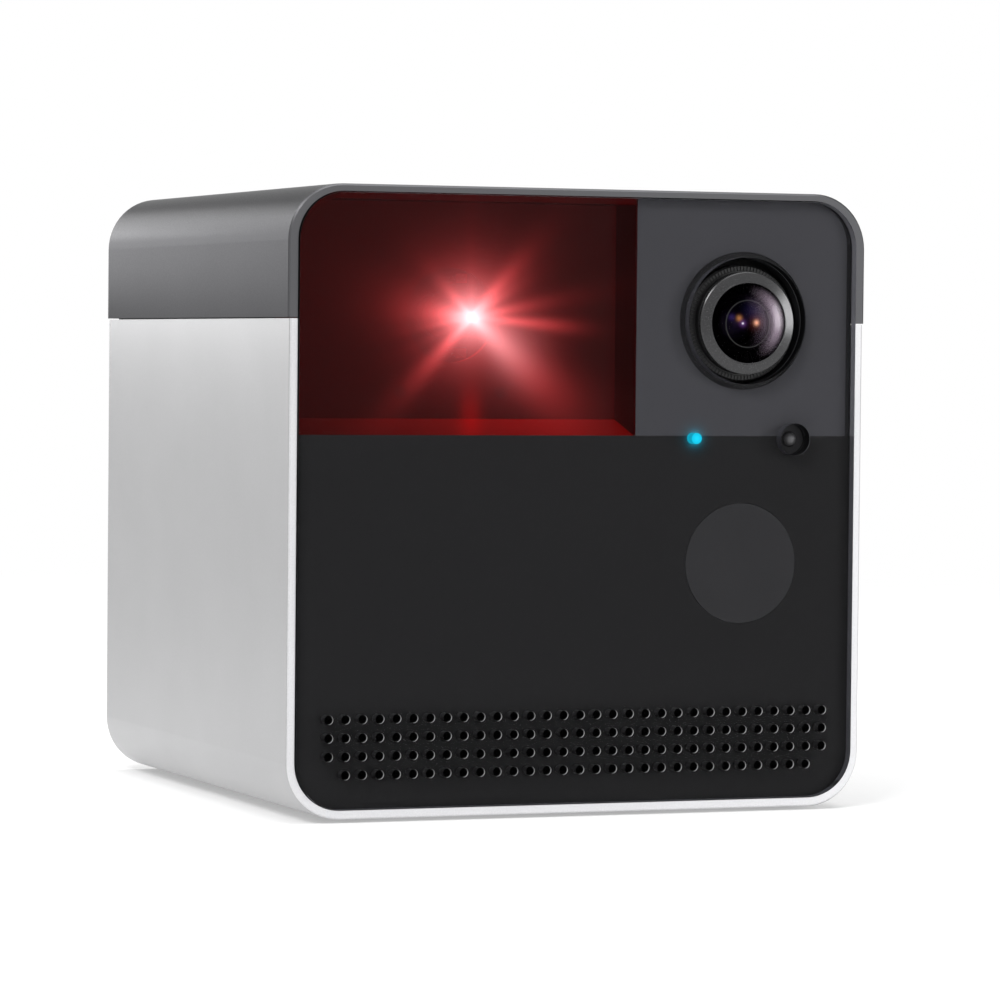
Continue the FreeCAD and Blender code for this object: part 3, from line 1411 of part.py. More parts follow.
def make_board_screws():
    """The small screws of the main board, sensor board, front board and bracket."""
    sets = [
        ("main", "z", stand_spots(), "board_top"),
        ("camera", "y", camera_posts(), "sensor_board_back"),
        ("front", "y", front_stands(), "front_board_front + board_thick"),
    ]
    screws = []
    for name, axis, spots, face in sets:
        for number, spot in enumerate(spots):
            screws.append(board_screw(f"{name}_screw_{number}", axis, spot, face))
    node("board_screws", group("board_screws", screws))
    face = "chamber_out + bracket_flange_thick"
    pair = []
    for number, (across, up) in enumerate(bracket_holes()):
        name = f"bracket_screw_{number}"
        pair.append(fuse(
            name,
            rod(name + "_head", "y", across, (face, f"{face} + board_screw_tall"), up,
                "board_screw_head"),
            rod(name + "_shank", "y", across, ("chamber_in", face), up,
                "board_screw_radius")))
    node("bracket_screws", group("bracket_screws", pair))


def make_processor():
    """Processor and its finned heat sink."""
    span_x = ("processor_x - processor_half", "processor_x + processor_half")
    span_y = ("processor_y - processor_half", "processor_y + processor_half")
    top = "board_top + processor_thick"
    node("processor", block("processor", span_x, span_y, ("board_top", top)))
    sink = Piece("heat_sink")
    sink.pad("XY", top, f"{top} + sink_base", rect(*span_x, *span_y))
    fin = sink.pad("XY", f"{top} + sink_base / 2", f"{top} + sink_height",
                   rect(span_x[0], f"{span_x[0]} + fin_thick", *span_y))
    sink.row(fin, "sink_fins", "(2 * processor_half - fin_thick) / (sink_fins - 1)")


def make_shield_can():
    """Sheet-metal can over the radio."""
    piece = Piece("shield_can")
    span = ("board_top", "board_top + can_height")
    left, right = "can_x - can_half", "can_x + can_half"
    near, far = "processor_y - can_half", "processor_y + can_half"
    piece.pad("XY", *span, rect(left, right, near, far))
    piece.pocket("XY", "board_top", "board_top + can_height - can_wall", rect(
        f"{left} + can_wall", f"{right} - can_wall", f"{near} + can_wall", f"{far} - can_wall"))


def make_antenna():
    """Antenna strip on the underside of the cap."""
    node("wifi_antenna", block(
        "wifi_antenna", ("-antenna_half", "antenna_half"),
        ("-antenna_width / 2", "antenna_width / 2"), ("roof_z - antenna_thick", "roof_z")))


# ---------------------------------------------------------------- back

def make_power_socket():
    """Flat power and data socket on the board's back edge."""
    piece = Piece("usb_port")
    back = "port_mouth - port_length"
    low, high = "board_top", "board_top + port_height"
    piece.pad("XZ", back, "port_mouth",
              rect("-port_half", "port_half", low, high, "port_height / 2 - least_flat"))
    piece.pocket("XZ", f"{back} + port_back", "port_mouth",
                 rect("port_wall - port_half", "port_half - port_wall",
                      f"{low} + port_wall", f"{high} - port_wall",
                      "port_height / 2 - port_wall - least_flat"))
    middle = "board_top + port_height / 2"
    piece.pad("XZ", back, "port_mouth - port_tongue_set", rect(
        "-port_tongue", "port_tongue",
        f"{middle} - port_tongue_thick / 2", f"{middle} + port_tongue_thick / 2"))


def make_setup_button():
    """Setup button in the back cover and the switch that it presses."""
    button = Piece("setup_button")
    spot = ("button_x", "button_z")
    inside = "cover_in - running_gap"
    flange = f"{inside} - button_flange_thick"
    button.pad("XZ", flange, "button_out", ring(*spot, "button_radius"))
    button.pad("XZ", flange, inside, rect(
        "button_x - button_flange", "button_x + button_flange",
        "button_z - button_radius + slide_gap", "button_z + button_flange", "board_corner"))
    stem_end = f"{flange} - stem_length"
    button.pad("XZ", stem_end, flange, ring(*spot, "stem_radius"))
    switch = Piece("setup_switch")
    face = f"{flange} - button_travel - slide_gap"
    switch.pad("XZ", f"{face} - switch_length", face, rect(
        "button_x - switch_half", "button_x + switch_half",
        "board_top", "button_z + stem_radius + switch_roof"))
    switch.pocket("XZ", f"{stem_end} - button_travel - slide_gap", face,
                  ring(*spot, "stem_radius + running_gap"))


def make_rear_cover():
    """Back cover with vents, power opening, button hole and four screw seats."""
    piece = Piece("rear_cover")
    span = ("cover_in", "cover_out")
    piece.pad("XZ", *span,
              rect("-glass_half", "glass_half", "glass_low", "glass_high", "glass_corner"))
    piece.pocket("XZ", *span, rect(
        "-port_half - port_gap", "port_half + port_gap",
        "board_top - port_gap", "board_top + port_height + port_gap",
        "port_height / 2"))
    piece.pocket("XZ", *span, ring("button_x", "button_z", "button_radius + button_gap"))
    for side in SIDES:
        for up in ("channel_low", "channel_high"):
            spot = (side + "channel_x", up)
            piece.pocket("XZ", "cover_out - screw_head", "cover_out",
                         ring(*spot, "screw_head_radius"))
            piece.pocket("XZ", "cover_in", "cover_out - screw_head",
                         ring(*spot, "screw_radius"))
    first = "-(vent_count - 1) / 2 * vent_pitch"
    slot = piece.pocket("XZ", *span, rect(
        f"{first} - vent_half", f"{first} + vent_half", "vent_low", "vent_high",
        "vent_half - least_flat"))
    piece.row(slot, "vent_count", "vent_pitch")


# ---------------------------------------------------------------- build and write

def build():
    """Makes every sub-part."""
    make_shell()
    make_cap()
    make_case_screws()
    make_foot()
    make_tripod_insert()
    make_window()
    make_front_mask()
    make_camera_mask()
    make_laser_filter()
    make_front_frame()
    make_night_light()
    make_front_board()
    make_status_light()
    make_light_sensor()
    make_microphone()
    make_lens_barrel()
    make_retaining_ring()
    make_front_lens()
    make_inner_lens()
    make_lens_holder()
    make_night_filter()
    make_sensor_board()
    make_camera_ribbon()
    make_chamber()
    make_laser_bracket()
    make_pan_bush()
    make_pan_motor()
    make_pan_gear()
    make_pan_pinion()
    make_pan_yoke()
    make_cradle()
    make_laser()
    make_tilt_gear()
    make_tilt_pinion()
    make_tilt_motor()
    make_speaker_mesh()
    make_speaker_box()
    make_speaker_basket()
    make_speaker_moving()
    make_speaker_magnet()
    make_base_tray()
    make_main_board()
    make_board_screws()
    make_processor()
    make_shield_can()
    make_antenna()
    make_power_socket()
    make_setup_button()
    make_rear_cover()


def check():
    """Stops with a message if any object failed or any sub-part is not a valid solid."""
    faults = [item.Name for item in doc.Objects
              if "Invalid" in item.State or "Error" in item.State]
    for label, thing in nodes.items():
        shape = thing.Shape
        if shape.isNull() or not shape.isValid() or not shape.Solids:
            faults.append(label)
    if faults:
        raise RuntimeError("not built: " + ", ".join(faults))


def write():
    """Writes one STEP file per sub-part."""
    os.makedirs("parts", exist_ok=True)
    for label, thing in nodes.items():
        thing.Shape.exportStep(f"parts/{label}.step")
        print(f"{label}: {len(thing.Shape.Solids)} solids, {thing.Shape.Volume:.2f} mm3")


build()
doc.recompute()
check()
write()
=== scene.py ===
"""The looks of a cube-shaped pet camera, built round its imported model.

Metres, +X to the right as seen from in front, +Y from the front to the back, +Z up.
Sizes in the classes are in millimetres.
"""

from __future__ import annotations

import json
import logging
import math
from contextlib import contextmanager
from dataclasses import dataclass
from enum import Enum
from typing import Any, Callable, Iterable, Iterator, Mapping, Sequence

import bpy
from mathutils import Matrix, Vector


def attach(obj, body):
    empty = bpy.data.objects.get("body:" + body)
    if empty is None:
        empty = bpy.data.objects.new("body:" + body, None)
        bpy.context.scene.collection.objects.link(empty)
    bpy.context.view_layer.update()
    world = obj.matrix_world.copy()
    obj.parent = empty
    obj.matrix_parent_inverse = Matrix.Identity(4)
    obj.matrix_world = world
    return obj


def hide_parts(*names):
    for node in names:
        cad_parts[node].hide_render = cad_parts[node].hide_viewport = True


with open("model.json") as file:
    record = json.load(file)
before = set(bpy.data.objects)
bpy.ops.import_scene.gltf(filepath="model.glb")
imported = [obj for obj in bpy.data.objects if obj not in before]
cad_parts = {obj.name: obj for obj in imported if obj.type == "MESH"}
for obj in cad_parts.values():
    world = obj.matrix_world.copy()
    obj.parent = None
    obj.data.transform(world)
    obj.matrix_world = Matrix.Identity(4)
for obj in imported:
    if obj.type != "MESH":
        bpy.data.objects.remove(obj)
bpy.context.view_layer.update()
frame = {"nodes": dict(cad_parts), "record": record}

MM = 0.001
LOG = logging.getLogger("pet_camera")
CASE = "case"
BUTTON = "setup_button"
LENS_AXIS = (23.3, 64.75)
LIGHT_AXIS = (16.15, 49.49)
SENSOR_AXIS = (30.45, 49.49)
WINDOW_FRONT = -39.9
FACING = 0.9  # a face looks along an axis when its normal has more than this share on it
CYAN = "#12D9FF"

Colour = tuple[float, float, float, float]
Spot = tuple[float, float]
Place = tuple[float, float, float]
Glow = tuple[Place, float, float]
Tree = bpy.types.NodeTree
Piece = bpy.types.Object
Material = bpy.types.Material
FaceTest = Callable[[bpy.types.MeshPolygon], bool]


# ---- shader tools


def srgb(code: str) -> Colour:
    """Turns a colour from sRGB to linear.

    Args:
        code: the colour, as "#rrggbb".

    Returns:
        Linear red, green and blue, and an alpha of one.
    """
    levels = [int(code[i:i + 2], 16) / 255 for i in (1, 3, 5)]
    return (*(level / 12.92 if level <= 0.04045 else ((level + 0.055) / 1.055) ** 2.4
              for level in levels), 1.0)


def operator(operation: str) -> Callable[[Term, Term | float], Term]:
    """A method that reckons a term with another, or with a number."""
    return lambda term, other: add_node(term.tree, "Math", {0: term, 1: other},
                                        operation=operation)


@dataclass(frozen=True)
class Term:
    """A node's output, which the operators reckon with."""

    tree: Tree
    socket: bpy.types.NodeSocket | None

    __add__ = __radd__ = operator("ADD")
    __sub__ = operator("SUBTRACT")
    __mul__ = __rmul__ = operator("MULTIPLY")
    __truediv__ = operator("DIVIDE")
    __pow__ = operator("POWER")
    above = operator("GREATER_THAN")
    below = operator("LESS_THAN")

    def fade(self) -> Term:
        """e to the power of minus this value."""
        return add_node(self.tree, "Math", {0: self * -1.0}, operation="EXPONENT")


def add_node(tree: Tree, kind: str, inputs: Mapping[Any, Any] | None = None,
             out: int | str = 0, **settings: Any) -> Term:
    """Adds one shader node.

    Args:
        tree: the node tree.
        kind: Blender's name for the node type, without "ShaderNode".
        inputs: by input name or index, a term that feeds it or a value that it keeps.
        out: name or index of the output that is returned.
        **settings: the node's own properties.

    Returns:
        The node's output.
    """
    node = tree.nodes.new("ShaderNode" + kind)
    for name, setting in settings.items():
        setattr(node, name, setting)
    for key, source in (inputs or {}).items():
        if isinstance(source, Term):
            tree.links.new(source.socket, node.inputs[key])
        else:
            node.inputs[key].default_value = source
    return Term(tree, node.outputs[out] if node.outputs else None)


def along(tree: Tree, axis: str) -> Term:
    """Place of the shaded spot along an axis, in metres."""
    where = add_node(tree, "TexCoord", out="Object")
    return add_node(tree, "SeparateXYZ", {0: where}, axis)


def distance(tree: Tree, spot: Spot, depth: float | None = None) -> Term:
    """Distance of the surface from a place.

    Args:
        tree: the node tree.
        spot: the place across and up, in millimetres.
        depth: its place front to back, or None to leave depth out.

    Returns:
        The distance, in metres.
    """
    where = add_node(tree, "TexCoord", out="Object")
    if depth is None:
        where = add_node(tree, "VectorMath", {0: where, 1: (1, 0, 1)}, operation="MULTIPLY")
    middle = (spot[0] * MM, (depth or 0.0) * MM, spot[1] * MM)
    return add_node(tree, "VectorMath", {0: where, 1: middle}, "Value", operation="DISTANCE")


def stretch(noise: Term, low: float, high: float) -> Term:
    """Spreads the middle of a noise, 0.3 to 0.7, over a range."""
    return add_node(noise.tree, "MapRange", {
        "Value": noise, "From Min": 0.3, "From Max": 0.7, "To Min": low, "To Max": high})


def bell(source: Term, reach: float, level: float, power: float = 2.0) -> Term:
    """A level that falls off with distance, to 1/e at a reach in millimetres."""
    return level * ((source * (1 / (reach * MM))) ** power).fade()


def speckle(tree: Tree, size: float, detail: float = 2.0) -> Term:
    """Noise over the surface.

    Args:
        tree: the node tree.
        size: the grains' size, in millimetres.
        detail: how many finer noises lie on top of it.

    Returns:
        The noise, about 0 to 1.
    """
    where = add_node(tree, "TexCoord", out="Object")
    return add_node(tree, "TexNoise", {
        "Scale": 1 / (size * MM), "Detail": detail, "Roughness": 0.6, "Vector": where})


def tint(colour: Sequence[float], level: Term) -> Term:
    """A colour times a level."""
    return add_node(level.tree, "VectorMath", {0: colour[:3], "Scale": level}, operation="SCALE")


def fresh_tree(owner: Material | bpy.types.World) -> Tree:
    """Empties the node tree of a material or a world.

    Args:
        owner: the material or the world.

    Returns:
        Its tree.
    """
    owner.use_nodes = True
    owner.node_tree.nodes.clear()
    return owner.node_tree


# ---- mesh tools


def mm(*lengths: float) -> tuple[float, ...]:
    """Lengths in metres, from millimetres."""
    return tuple(length * MM for length in lengths)


def pick(*pieces: Piece) -> None:
    """Leaves edit mode, selects these pieces alone and makes the first one active.

    Args:
        *pieces: the pieces, or none to select nothing.
    """
    if bpy.context.object is not None and bpy.context.object.mode != "OBJECT":
        bpy.ops.object.mode_set(mode="OBJECT")
    bpy.ops.object.select_all(action="DESELECT")
    for piece in pieces:
        piece.select_set(True)
    if pieces:
        bpy.context.view_layer.objects.active = pieces[0]


@contextmanager
def editing(piece: Piece, kind: str = "EDGE") -> Iterator[None]:
    """Edit mode on one piece, and object mode again afterwards.

    Args:
        piece: the piece.
        kind: what can be selected: VERT, EDGE or FACE.
    """
    pick(piece)
    bpy.context.tool_settings.mesh_select_mode = tuple(
        kind == mode for mode in ("VERT", "EDGE", "FACE"))
    bpy.ops.object.mode_set(mode="EDIT")
    yield
    bpy.ops.object.mode_set(mode="OBJECT")


def clear_picks(mesh: bpy.types.Mesh) -> None:
    """Unselects every vertex, edge and face of a mesh."""
    for group in (mesh.vertices, mesh.edges, mesh.polygons):
        group.foreach_set("select", [False] * len(group))


def pick_faces(piece: Piece, test: FaceTest) -> int:
    """Selects some of a piece's faces.

    Args:
        piece: the piece.
        test: true for the faces to select.

    Returns:
        Their number.
    """
    mesh = piece.data
    clear_picks(mesh)
    found = [face for face in mesh.polygons if test(face)]
    for face in found:
        face.select = True
        for corner in face.vertices:
            mesh.vertices[corner].select = True
    return len(found)


def settle(piece: Piece, name: str) -> Piece:
    """Names a piece and moves its place, turn and scale into its mesh.

    Args:
        piece: the piece.
        name: its new name.

    Returns:
        The piece.
    """
    pick(piece)
    bpy.ops.object.transform_apply(location=True, rotation=True, scale=True)
    piece.name = name
    piece.data.name = name
    return piece


def smooth(piece: Piece, degrees: float = 32.0, plane: bool = False) -> None:
    """Shades a piece smooth but for its sharp edges.

    Args:
        piece: the piece.
        degrees: edges sharper than this stay sharp.
        plane: shades the faces that look straight forwards or backwards flat.
    """
    pick(piece)
    bpy.ops.object.shade_smooth_by_angle(angle=math.radians(degrees))
    if plane:
        pick_faces(piece, lambda face: abs(face.normal.y) > 0.99)
        with editing(piece, "FACE"):
            bpy.ops.mesh.faces_shade_flat()


def copy_node(node: str, name: str, dissolve: bool = True) -> Piece:
    """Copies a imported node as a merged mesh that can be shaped.

    Args:
        node: the node's name.
        name: the copy's name.
        dissolve: joins the triangles of each flat face.

    Returns:
        The copy, on no body yet.
    """
    pick(frame["nodes"][node])
    bpy.ops.object.duplicate()
    copy = bpy.context.object
    copy.parent = None
    for key in [key for key in copy.keys() if key.startswith("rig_")]:
        del copy[key]
    copy.data.materials.clear()
    pick(copy)
    bpy.ops.mesh.customdata_custom_splitnormals_clear()
    with editing(copy):
        bpy.ops.mesh.select_all(action="SELECT")
        bpy.ops.mesh.remove_doubles(threshold=0.002 * MM)
        if dissolve:
            bpy.ops.mesh.dissolve_limited(angle_limit=math.radians(0.4))
    return settle(copy, name)


def box(name: str, middle: Sequence[float], size: Sequence[float], turn: float = 0.0) -> Piece:
    """A block.

    Args:
        name: its name.
        middle, size: its middle and its three sizes, in millimetres.
        turn: its turn about Y, in radians.

    Returns:
        The block.
    """
    pick()
    bpy.ops.mesh.primitive_cube_add(size=1.0, location=mm(*middle), rotation=(0, turn, 0),
                                    scale=mm(*size))
    return settle(bpy.context.object, name)


def join_copies(pattern: Piece, name: str, moves: Iterable[Matrix]) -> Piece:
    """Joins moved copies of a pattern into one piece, and removes the pattern.

    Args:
        pattern: the piece that is copied.
        name: the joined piece's name.
        moves: each copy's move.

    Returns:
        The joined piece.
    """
    copies = []
    for move in moves:
        pick(pattern)
        bpy.ops.object.duplicate()
        copy = bpy.context.object
        copy.data.transform(move)
        copies.append(copy)
    bpy.data.objects.remove(pattern)
    pick(*copies)
    bpy.ops.object.join()
    return settle(bpy.context.object, name)


def soften(piece: Piece, width: float, angle: float = 40.0, segments: int = 2) -> None:
    """Bevels a piece's sharp edges.

    Args:
        piece: the piece.
        width: the bevel's width, in millimetres.
        angle: edges sharper than this, in degrees, are bevelled.
        segments: faces across the bevel.
    """
    pick(piece)
    bevel = piece.modifiers.new("edge", "BEVEL")
    bevel.width = width * MM
    bevel.segments = segments
    bevel.limit_method = "ANGLE"
    bevel.angle_limit = math.radians(angle)
    bevel.harden_normals = False
    bpy.ops.object.modifier_apply(modifier=bevel.name)


def spin_ring(name: str, centre: Sequence[float], axis: str, outline: Sequence[Spot],
              steps: int) -> Piece:
    """Turns a closed outline about an axis, from one corner of a plane.

    Args:
        name: the piece's name.
        centre: a point on the axis, in millimetres.
        axis: "Y" or "Z".
        outline: radius and place along the axis of each corner, in millimetres.
        steps: faces round the piece.

    Returns:
        The piece.
    """
    way = Vector((0, 1, 0)) if axis == "Y" else Vector((0, 0, 1))
    middle = Vector(centre) * MM
    middle -= way * middle.dot(way)
    points = [middle + Vector((radius * MM, 0, 0)) + way * (place * MM)
              for radius, place in outline]
    pick()
    bpy.ops.mesh.primitive_plane_add(size=MM, location=points[0])
    piece = bpy.context.object
    with editing(piece, "VERT"):
        bpy.ops.mesh.select_all(action="SELECT")
        bpy.ops.mesh.merge(type="CENTER")
        for here, there in zip(points, [*points[1:], points[0]]):
            bpy.ops.mesh.extrude_region_move(TRANSFORM_OT_translate={"value": there - here})
        bpy.ops.mesh.select_all(action="SELECT")
        bpy.ops.mesh.remove_doubles(threshold=0.001 * MM)
        bpy.ops.mesh.spin(steps=steps, angle=2 * math.pi, center=middle, axis=way)
        bpy.ops.mesh.select_all(action="SELECT")
        bpy.ops.mesh.remove_doubles(threshold=0.002 * MM)
        bpy.ops.mesh.normals_make_consistent(inside=False)
    return settle(piece, name)


def off_axis(spot: Vector, axis: Spot) -> float:
    """Distance in metres of a place from an axis that runs front to back."""
    return math.hypot(spot.x - axis[0] * MM, spot.z - axis[1] * MM)


def coat(piece: Piece, material: Material) -> None:
    """Puts one material on a whole piece.

    Args:
        piece: the piece.
        material: the material.
    """
    if not piece.material_slots:
        piece.data.materials.append(None)
    for holder in piece.material_slots:
        holder.material = material


def two_coats(piece: Piece, first: Material, second: Material, test: FaceTest) -> None:
    """Puts two materials on a piece.

    Args:
        piece: the piece.
        first, second: the materials.
        test: true for the faces that take the second one.
    """
    piece.data.materials.append(first)
    piece.data.materials.append(second)
    for face in piece.data.polygons:
        face.material_index = int(test(face))


def place(piece: Piece, body: str, slot: str, *nodes: str) -> Piece:
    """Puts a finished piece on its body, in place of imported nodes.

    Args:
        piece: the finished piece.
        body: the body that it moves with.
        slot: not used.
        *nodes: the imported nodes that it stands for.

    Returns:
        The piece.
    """
    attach(piece, body)
    if nodes:
        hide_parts(*nodes)
    LOG.info("%s: %d faces on %s", piece.name, len(piece.data.polygons), body)
    return piece


# ---- finishes


@dataclass(frozen=True)
class Finish:
    """A finish with the name of its real material."""

    name: str

    def shade(self, tree: Tree) -> Term:
        """Adds the finish's nodes.

        Args:
            tree: the material's node tree.

        Returns:
            The finish's shader.
        """
        raise NotImplementedError

    def make(self) -> Material:
        """Makes the Blender material.

        Returns:
            The material.
        """
        material = bpy.data.materials.new(self.name)
        tree = fresh_tree(material)
        add_node(tree, "OutputMaterial", {"Surface": self.shade(tree)})
        return material


@dataclass(frozen=True)
class Grained(Finish):
    """A finish with fine grain and slight broad unevenness."""

    colour: str = "#C8C8CA"
    roughness: float = 0.45
    # Blasted, lacquered and moulded skins have grains of 0.05 to 0.1 mm, too fine to show, so the
    # grain is drawn at least twice as coarse.
    grain: float = 0.2
    uneven: float = 0.05
    relief: float = 0.006

    def skin(self, tree: Tree, detail: float, broad: float, drift: float, gloss: float,
             strength: float) -> tuple[Term, Term, Term]:
        """Works out what the grain does to the surface.

        Args:
            tree: the node tree.
            detail: the fine noise's detail.
            broad: size of the broad noise, in millimetres.
            drift, gloss: how far noise moves the colour's level and the roughness.
            strength: the relief's strength.

        Returns:
            The colour's level, the roughness and the normal.
        """
        fine = speckle(tree, self.grain, detail)
        level = (stretch(fine, 1 - self.uneven, 1 + self.uneven)
                 + stretch(speckle(tree, broad), -drift, drift))
        rough = stretch(fine, self.roughness - gloss, self.roughness + gloss)
        normal = add_node(tree, "Bump", {
            "Strength": strength, "Distance": self.relief * MM, "Height": fine})
        return level, rough, normal


@dataclass(frozen=True)
class Metal(Grained):
    """Metal with a blasted, lacquered or turned face: a soft sheen with fine bright grain."""

    metallic: float = 1.0
    rim_colour: str = ""
    rim_place: float = -39.25
    edge: float = 1.0

    def shade(self, tree: Tree) -> Term:
        """Grain in colour, roughness and relief, with a lighter colour on the front rim where it
        has one.

        Args:
            tree: the material's node tree.

        Returns:
            The finish's shader.
        """
        level, rough, relief = self.skin(tree, detail=2.0, broad=14.0, drift=0.02, gloss=0.05,
                                         strength=0.5)
        colour = tint(srgb(self.colour), level)
        if self.rim_colour:
            rim = along(tree, "Y").below(self.rim_place * MM)
            bright = tint(srgb(self.rim_colour), level)
            colour = add_node(tree, "Mix", {0: rim, 6: colour, 7: bright}, 2, data_type="RGBA")
        return add_node(tree, "BsdfPrincipled", {
            "Metallic": self.metallic, "Specular Tint": (self.edge, self.edge, self.edge, 1.0),
            "Base Color": colour, "Roughness": rough, "Normal": relief})


@dataclass(frozen=True)
class Plastic(Grained):
    """Moulded plastic, rubber, board or paper: a dull body colour with a fine texture."""

    colour: str = "#202022"
    roughness: float = 0.5
    grain: float = 0.3
    uneven: float = 0.06
    relief: float = 0.01
    specular: float = 0.5
    coat: float = 0.0

    def shade(self, tree: Tree) -> Term:
        """Fine relief from the mould, and slight unevenness in colour and gloss.

        Args:
            tree: the material's node tree.

        Returns:
            The finish's shader.
        """
        level, rough, relief = self.skin(tree, detail=3.0, broad=9.0, drift=0.04, gloss=0.06,
                                         strength=0.6)
        return add_node(tree, "BsdfPrincipled", {
            "Specular IOR Level": self.specular, "Coat Weight": self.coat,
            "Base Color": tint(srgb(self.colour), level), "Roughness": rough, "Normal": relief})


@dataclass(frozen=True)
class GroundEdge(Finish):
    """Cut acrylic edge: a thin ground line at its front corner and black paint behind it.

    From inside the plate it shows a flat colour that copies the print beside it as lit and shaded:
    painted light and shade.
    """

    paint: str = "#060607"
    ground: str = "#6A6A6E"
    outside: str = "#434348"
    outside_high: str = "#5E5E64"
    zone_z: float = 49.82
    line: float = 0.09
    line_end: float = 1.6
    lets_light: bool = False

    def shade(self, tree: Tree) -> Term:
        """Grey near the front corner, black behind it.

        Args:
            tree: the material's node tree.

        Returns:
            The finish's shader.
        """
        high = along(tree, "Z").above(self.zone_z * MM)
        behind = add_node(tree, "MapRange", {
            "Value": along(tree, "Y"), "From Min": (WINDOW_FRONT + self.line) * MM,
            "From Max": (WINDOW_FRONT + self.line_end * self.line) * MM})
        within = add_node(tree, "NewGeometry", out="Backfacing")
        # Painted light and shade: seen from inside the plate, a flat colour for the print as it
        # looks lit and shaded.
        inside, colour = (
            add_node(tree, "Mix", {0: share, 6: srgb(first), 7: srgb(second)}, 2, data_type="RGBA")
            for share, first, second in ((high, self.outside, self.outside_high),
                                         (behind, self.ground, self.paint)))
        colour = add_node(tree, "Mix", {0: within, 6: colour, 7: inside}, 2, data_type="RGBA")
        edge = add_node(tree, "BsdfPrincipled", {
            "Specular IOR Level": 0.1, "Base Color": colour,
            "Roughness": stretch(speckle(tree, 0.2), 0.45, 0.65)})
        if not self.lets_light:
            return edge
        shadow = add_node(tree, "LightPath", out="Is Shadow Ray")
        clear = add_node(tree, "BsdfTransparent")
        return add_node(tree, "MixShader", {0: shadow, 1: edge, 2: clear})


@dataclass(frozen=True)
class Weave(Finish):
    """Woven dust mesh: fine threads that cross."""

    colour: str = "#0C0C0D"
    # Real threads lie about 0.1 mm apart, too fine to show, so they are drawn coarser.
    thread: float = 0.25
    turns: float = 0.31
    relief: float = 0.03

    def shade(self, tree: Tree) -> Term:
        """Two crossing wave patterns for the threads.

        Args:
            tree: the material's node tree.

        Returns:
            The finish's shader.
        """
        where = add_node(tree, "TexCoord", out="Object")
        across, up = (add_node(tree, "TexWave", {
            "Scale": self.turns / (self.thread * MM), "Vector": where}, 1, bands_direction=axis)
            for axis in ("X", "Z"))
        height = across * up
        normal = add_node(tree, "Bump", {
            "Strength": 0.8, "Distance": self.relief * MM, "Height": height})
        return add_node(tree, "BsdfPrincipled", {
            "Roughness": 0.8, "Base Color": tint(srgb(self.colour), stretch(height, 0.5, 1.5)),
            "Normal": normal})


@dataclass(frozen=True)
class Ink(Finish):
    """Screen-printed ink behind the window: flat and dull, with a painted cyan glow round the
    status light.
    """

    colour: str = "#0E0E10"
    # Middle, reach and level of the painted cyan glow round the status light.
    light: Spot = (16.5, 49.49)
    light_reach: float = 0.4
    painted_glow_level: float = 0.55

    def shade(self, tree: Tree) -> Term:
        """Printed colour with a painted soft cyan glow round the light pipe, emission in place of
        the status light's spill.

        Args:
            tree: the material's node tree.

        Returns:
            The finish's shader.
        """
        level = stretch(speckle(tree, 0.25), 0.97, 1.03)
        # Painted light: cyan emission on the ink, falling off round the status light.
        glow = bell(distance(tree, self.light), self.light_reach, self.painted_glow_level * math.e, 1.0)
        return add_node(tree, "BsdfPrincipled", {
            "Specular IOR Level": 0.0, "Roughness": 0.7, "Emission Color": srgb(CYAN),
            "Base Color": tint(srgb(self.colour), level), "Emission Strength": glow})


@dataclass(frozen=True)
class Plate(Finish):
    """Polished clear plate: what is behind shows, with a thin reflection on top."""

    through: str = "#FFFFFF"
    ior: float = 1.10
    roughness: float = 0.16

    def shade(self, tree: Tree) -> Term:
        """The tinted see-through part under its reflection.

        Args:
            tree: the material's node tree.

        Returns:
            The finish's shader.
        """
        clear = add_node(tree, "BsdfTransparent", {"Color": srgb(self.through)})
        gloss = add_node(tree, "BsdfGlossy", {"Roughness": self.roughness})
        share = add_node(tree, "Fresnel", {"IOR": self.ior})
        return add_node(tree, "MixShader", {0: share, 1: clear, 2: gloss})


class Beam(Enum):
    """The streaks of light that the laser throws on its window, painted as emission.

    Each is its angle and half its spread in degrees, its level, its reach in millimetres, and the
    power with which it ends.
    """

    RIGHT = (-4.5, 2.8, 0.62, 11.5, 3)
    RIGHT_UP = (10.8, 4.1, 1.47, 3.7, 1)
    LOW_RIGHT = (-41.0, 11.7, 0.35, 16.6, 3)
    LOW_RIGHT_WIDE = (-34.4, 25.0, 0.40, 9.8, 3)
    LOW_LEFT = (-132.8, 5.7, 2.02, 3.9, 1)
    LEFT_LOW = (-154.0, 2.5, 0.96, 2.1, 1)
    LEFT_SHORT = (-168.0, 2.2, 1.77, 2.2, 1)
    LEFT = (176.8, 9.5, 2.12, 3.05, 1)
    LEFT_UP = (163.0, 10.0, 0.50, 4.0, 1)
    UP_LEFT = (132.8, 6.0, 1.99, 2.0, 1)
    UP = (91.0, 3.5, 0.12, 4.4, 1)
    UP_RIGHT = (47.1, 7.0, 2.15, 3.2, 1)
    RIGHT_HIGH = (32.5, 3.6, 1.46, 2.4, 1)


class Halo(Enum):
    """The round glows of the laser's star, painted as emission: reach in millimetres, level and end
    power.
    """

    RED = (2.58, 2.64, 1.0)
    ON_BEAMS = (5.0, 0.165, 1.0)
    ON_PALE_BEAMS = (10.3, 0.27, 3.0)
    HOT = (1.57, 1.1, 1.0)
    SOFT = (3.56, 0.069, 1.0)


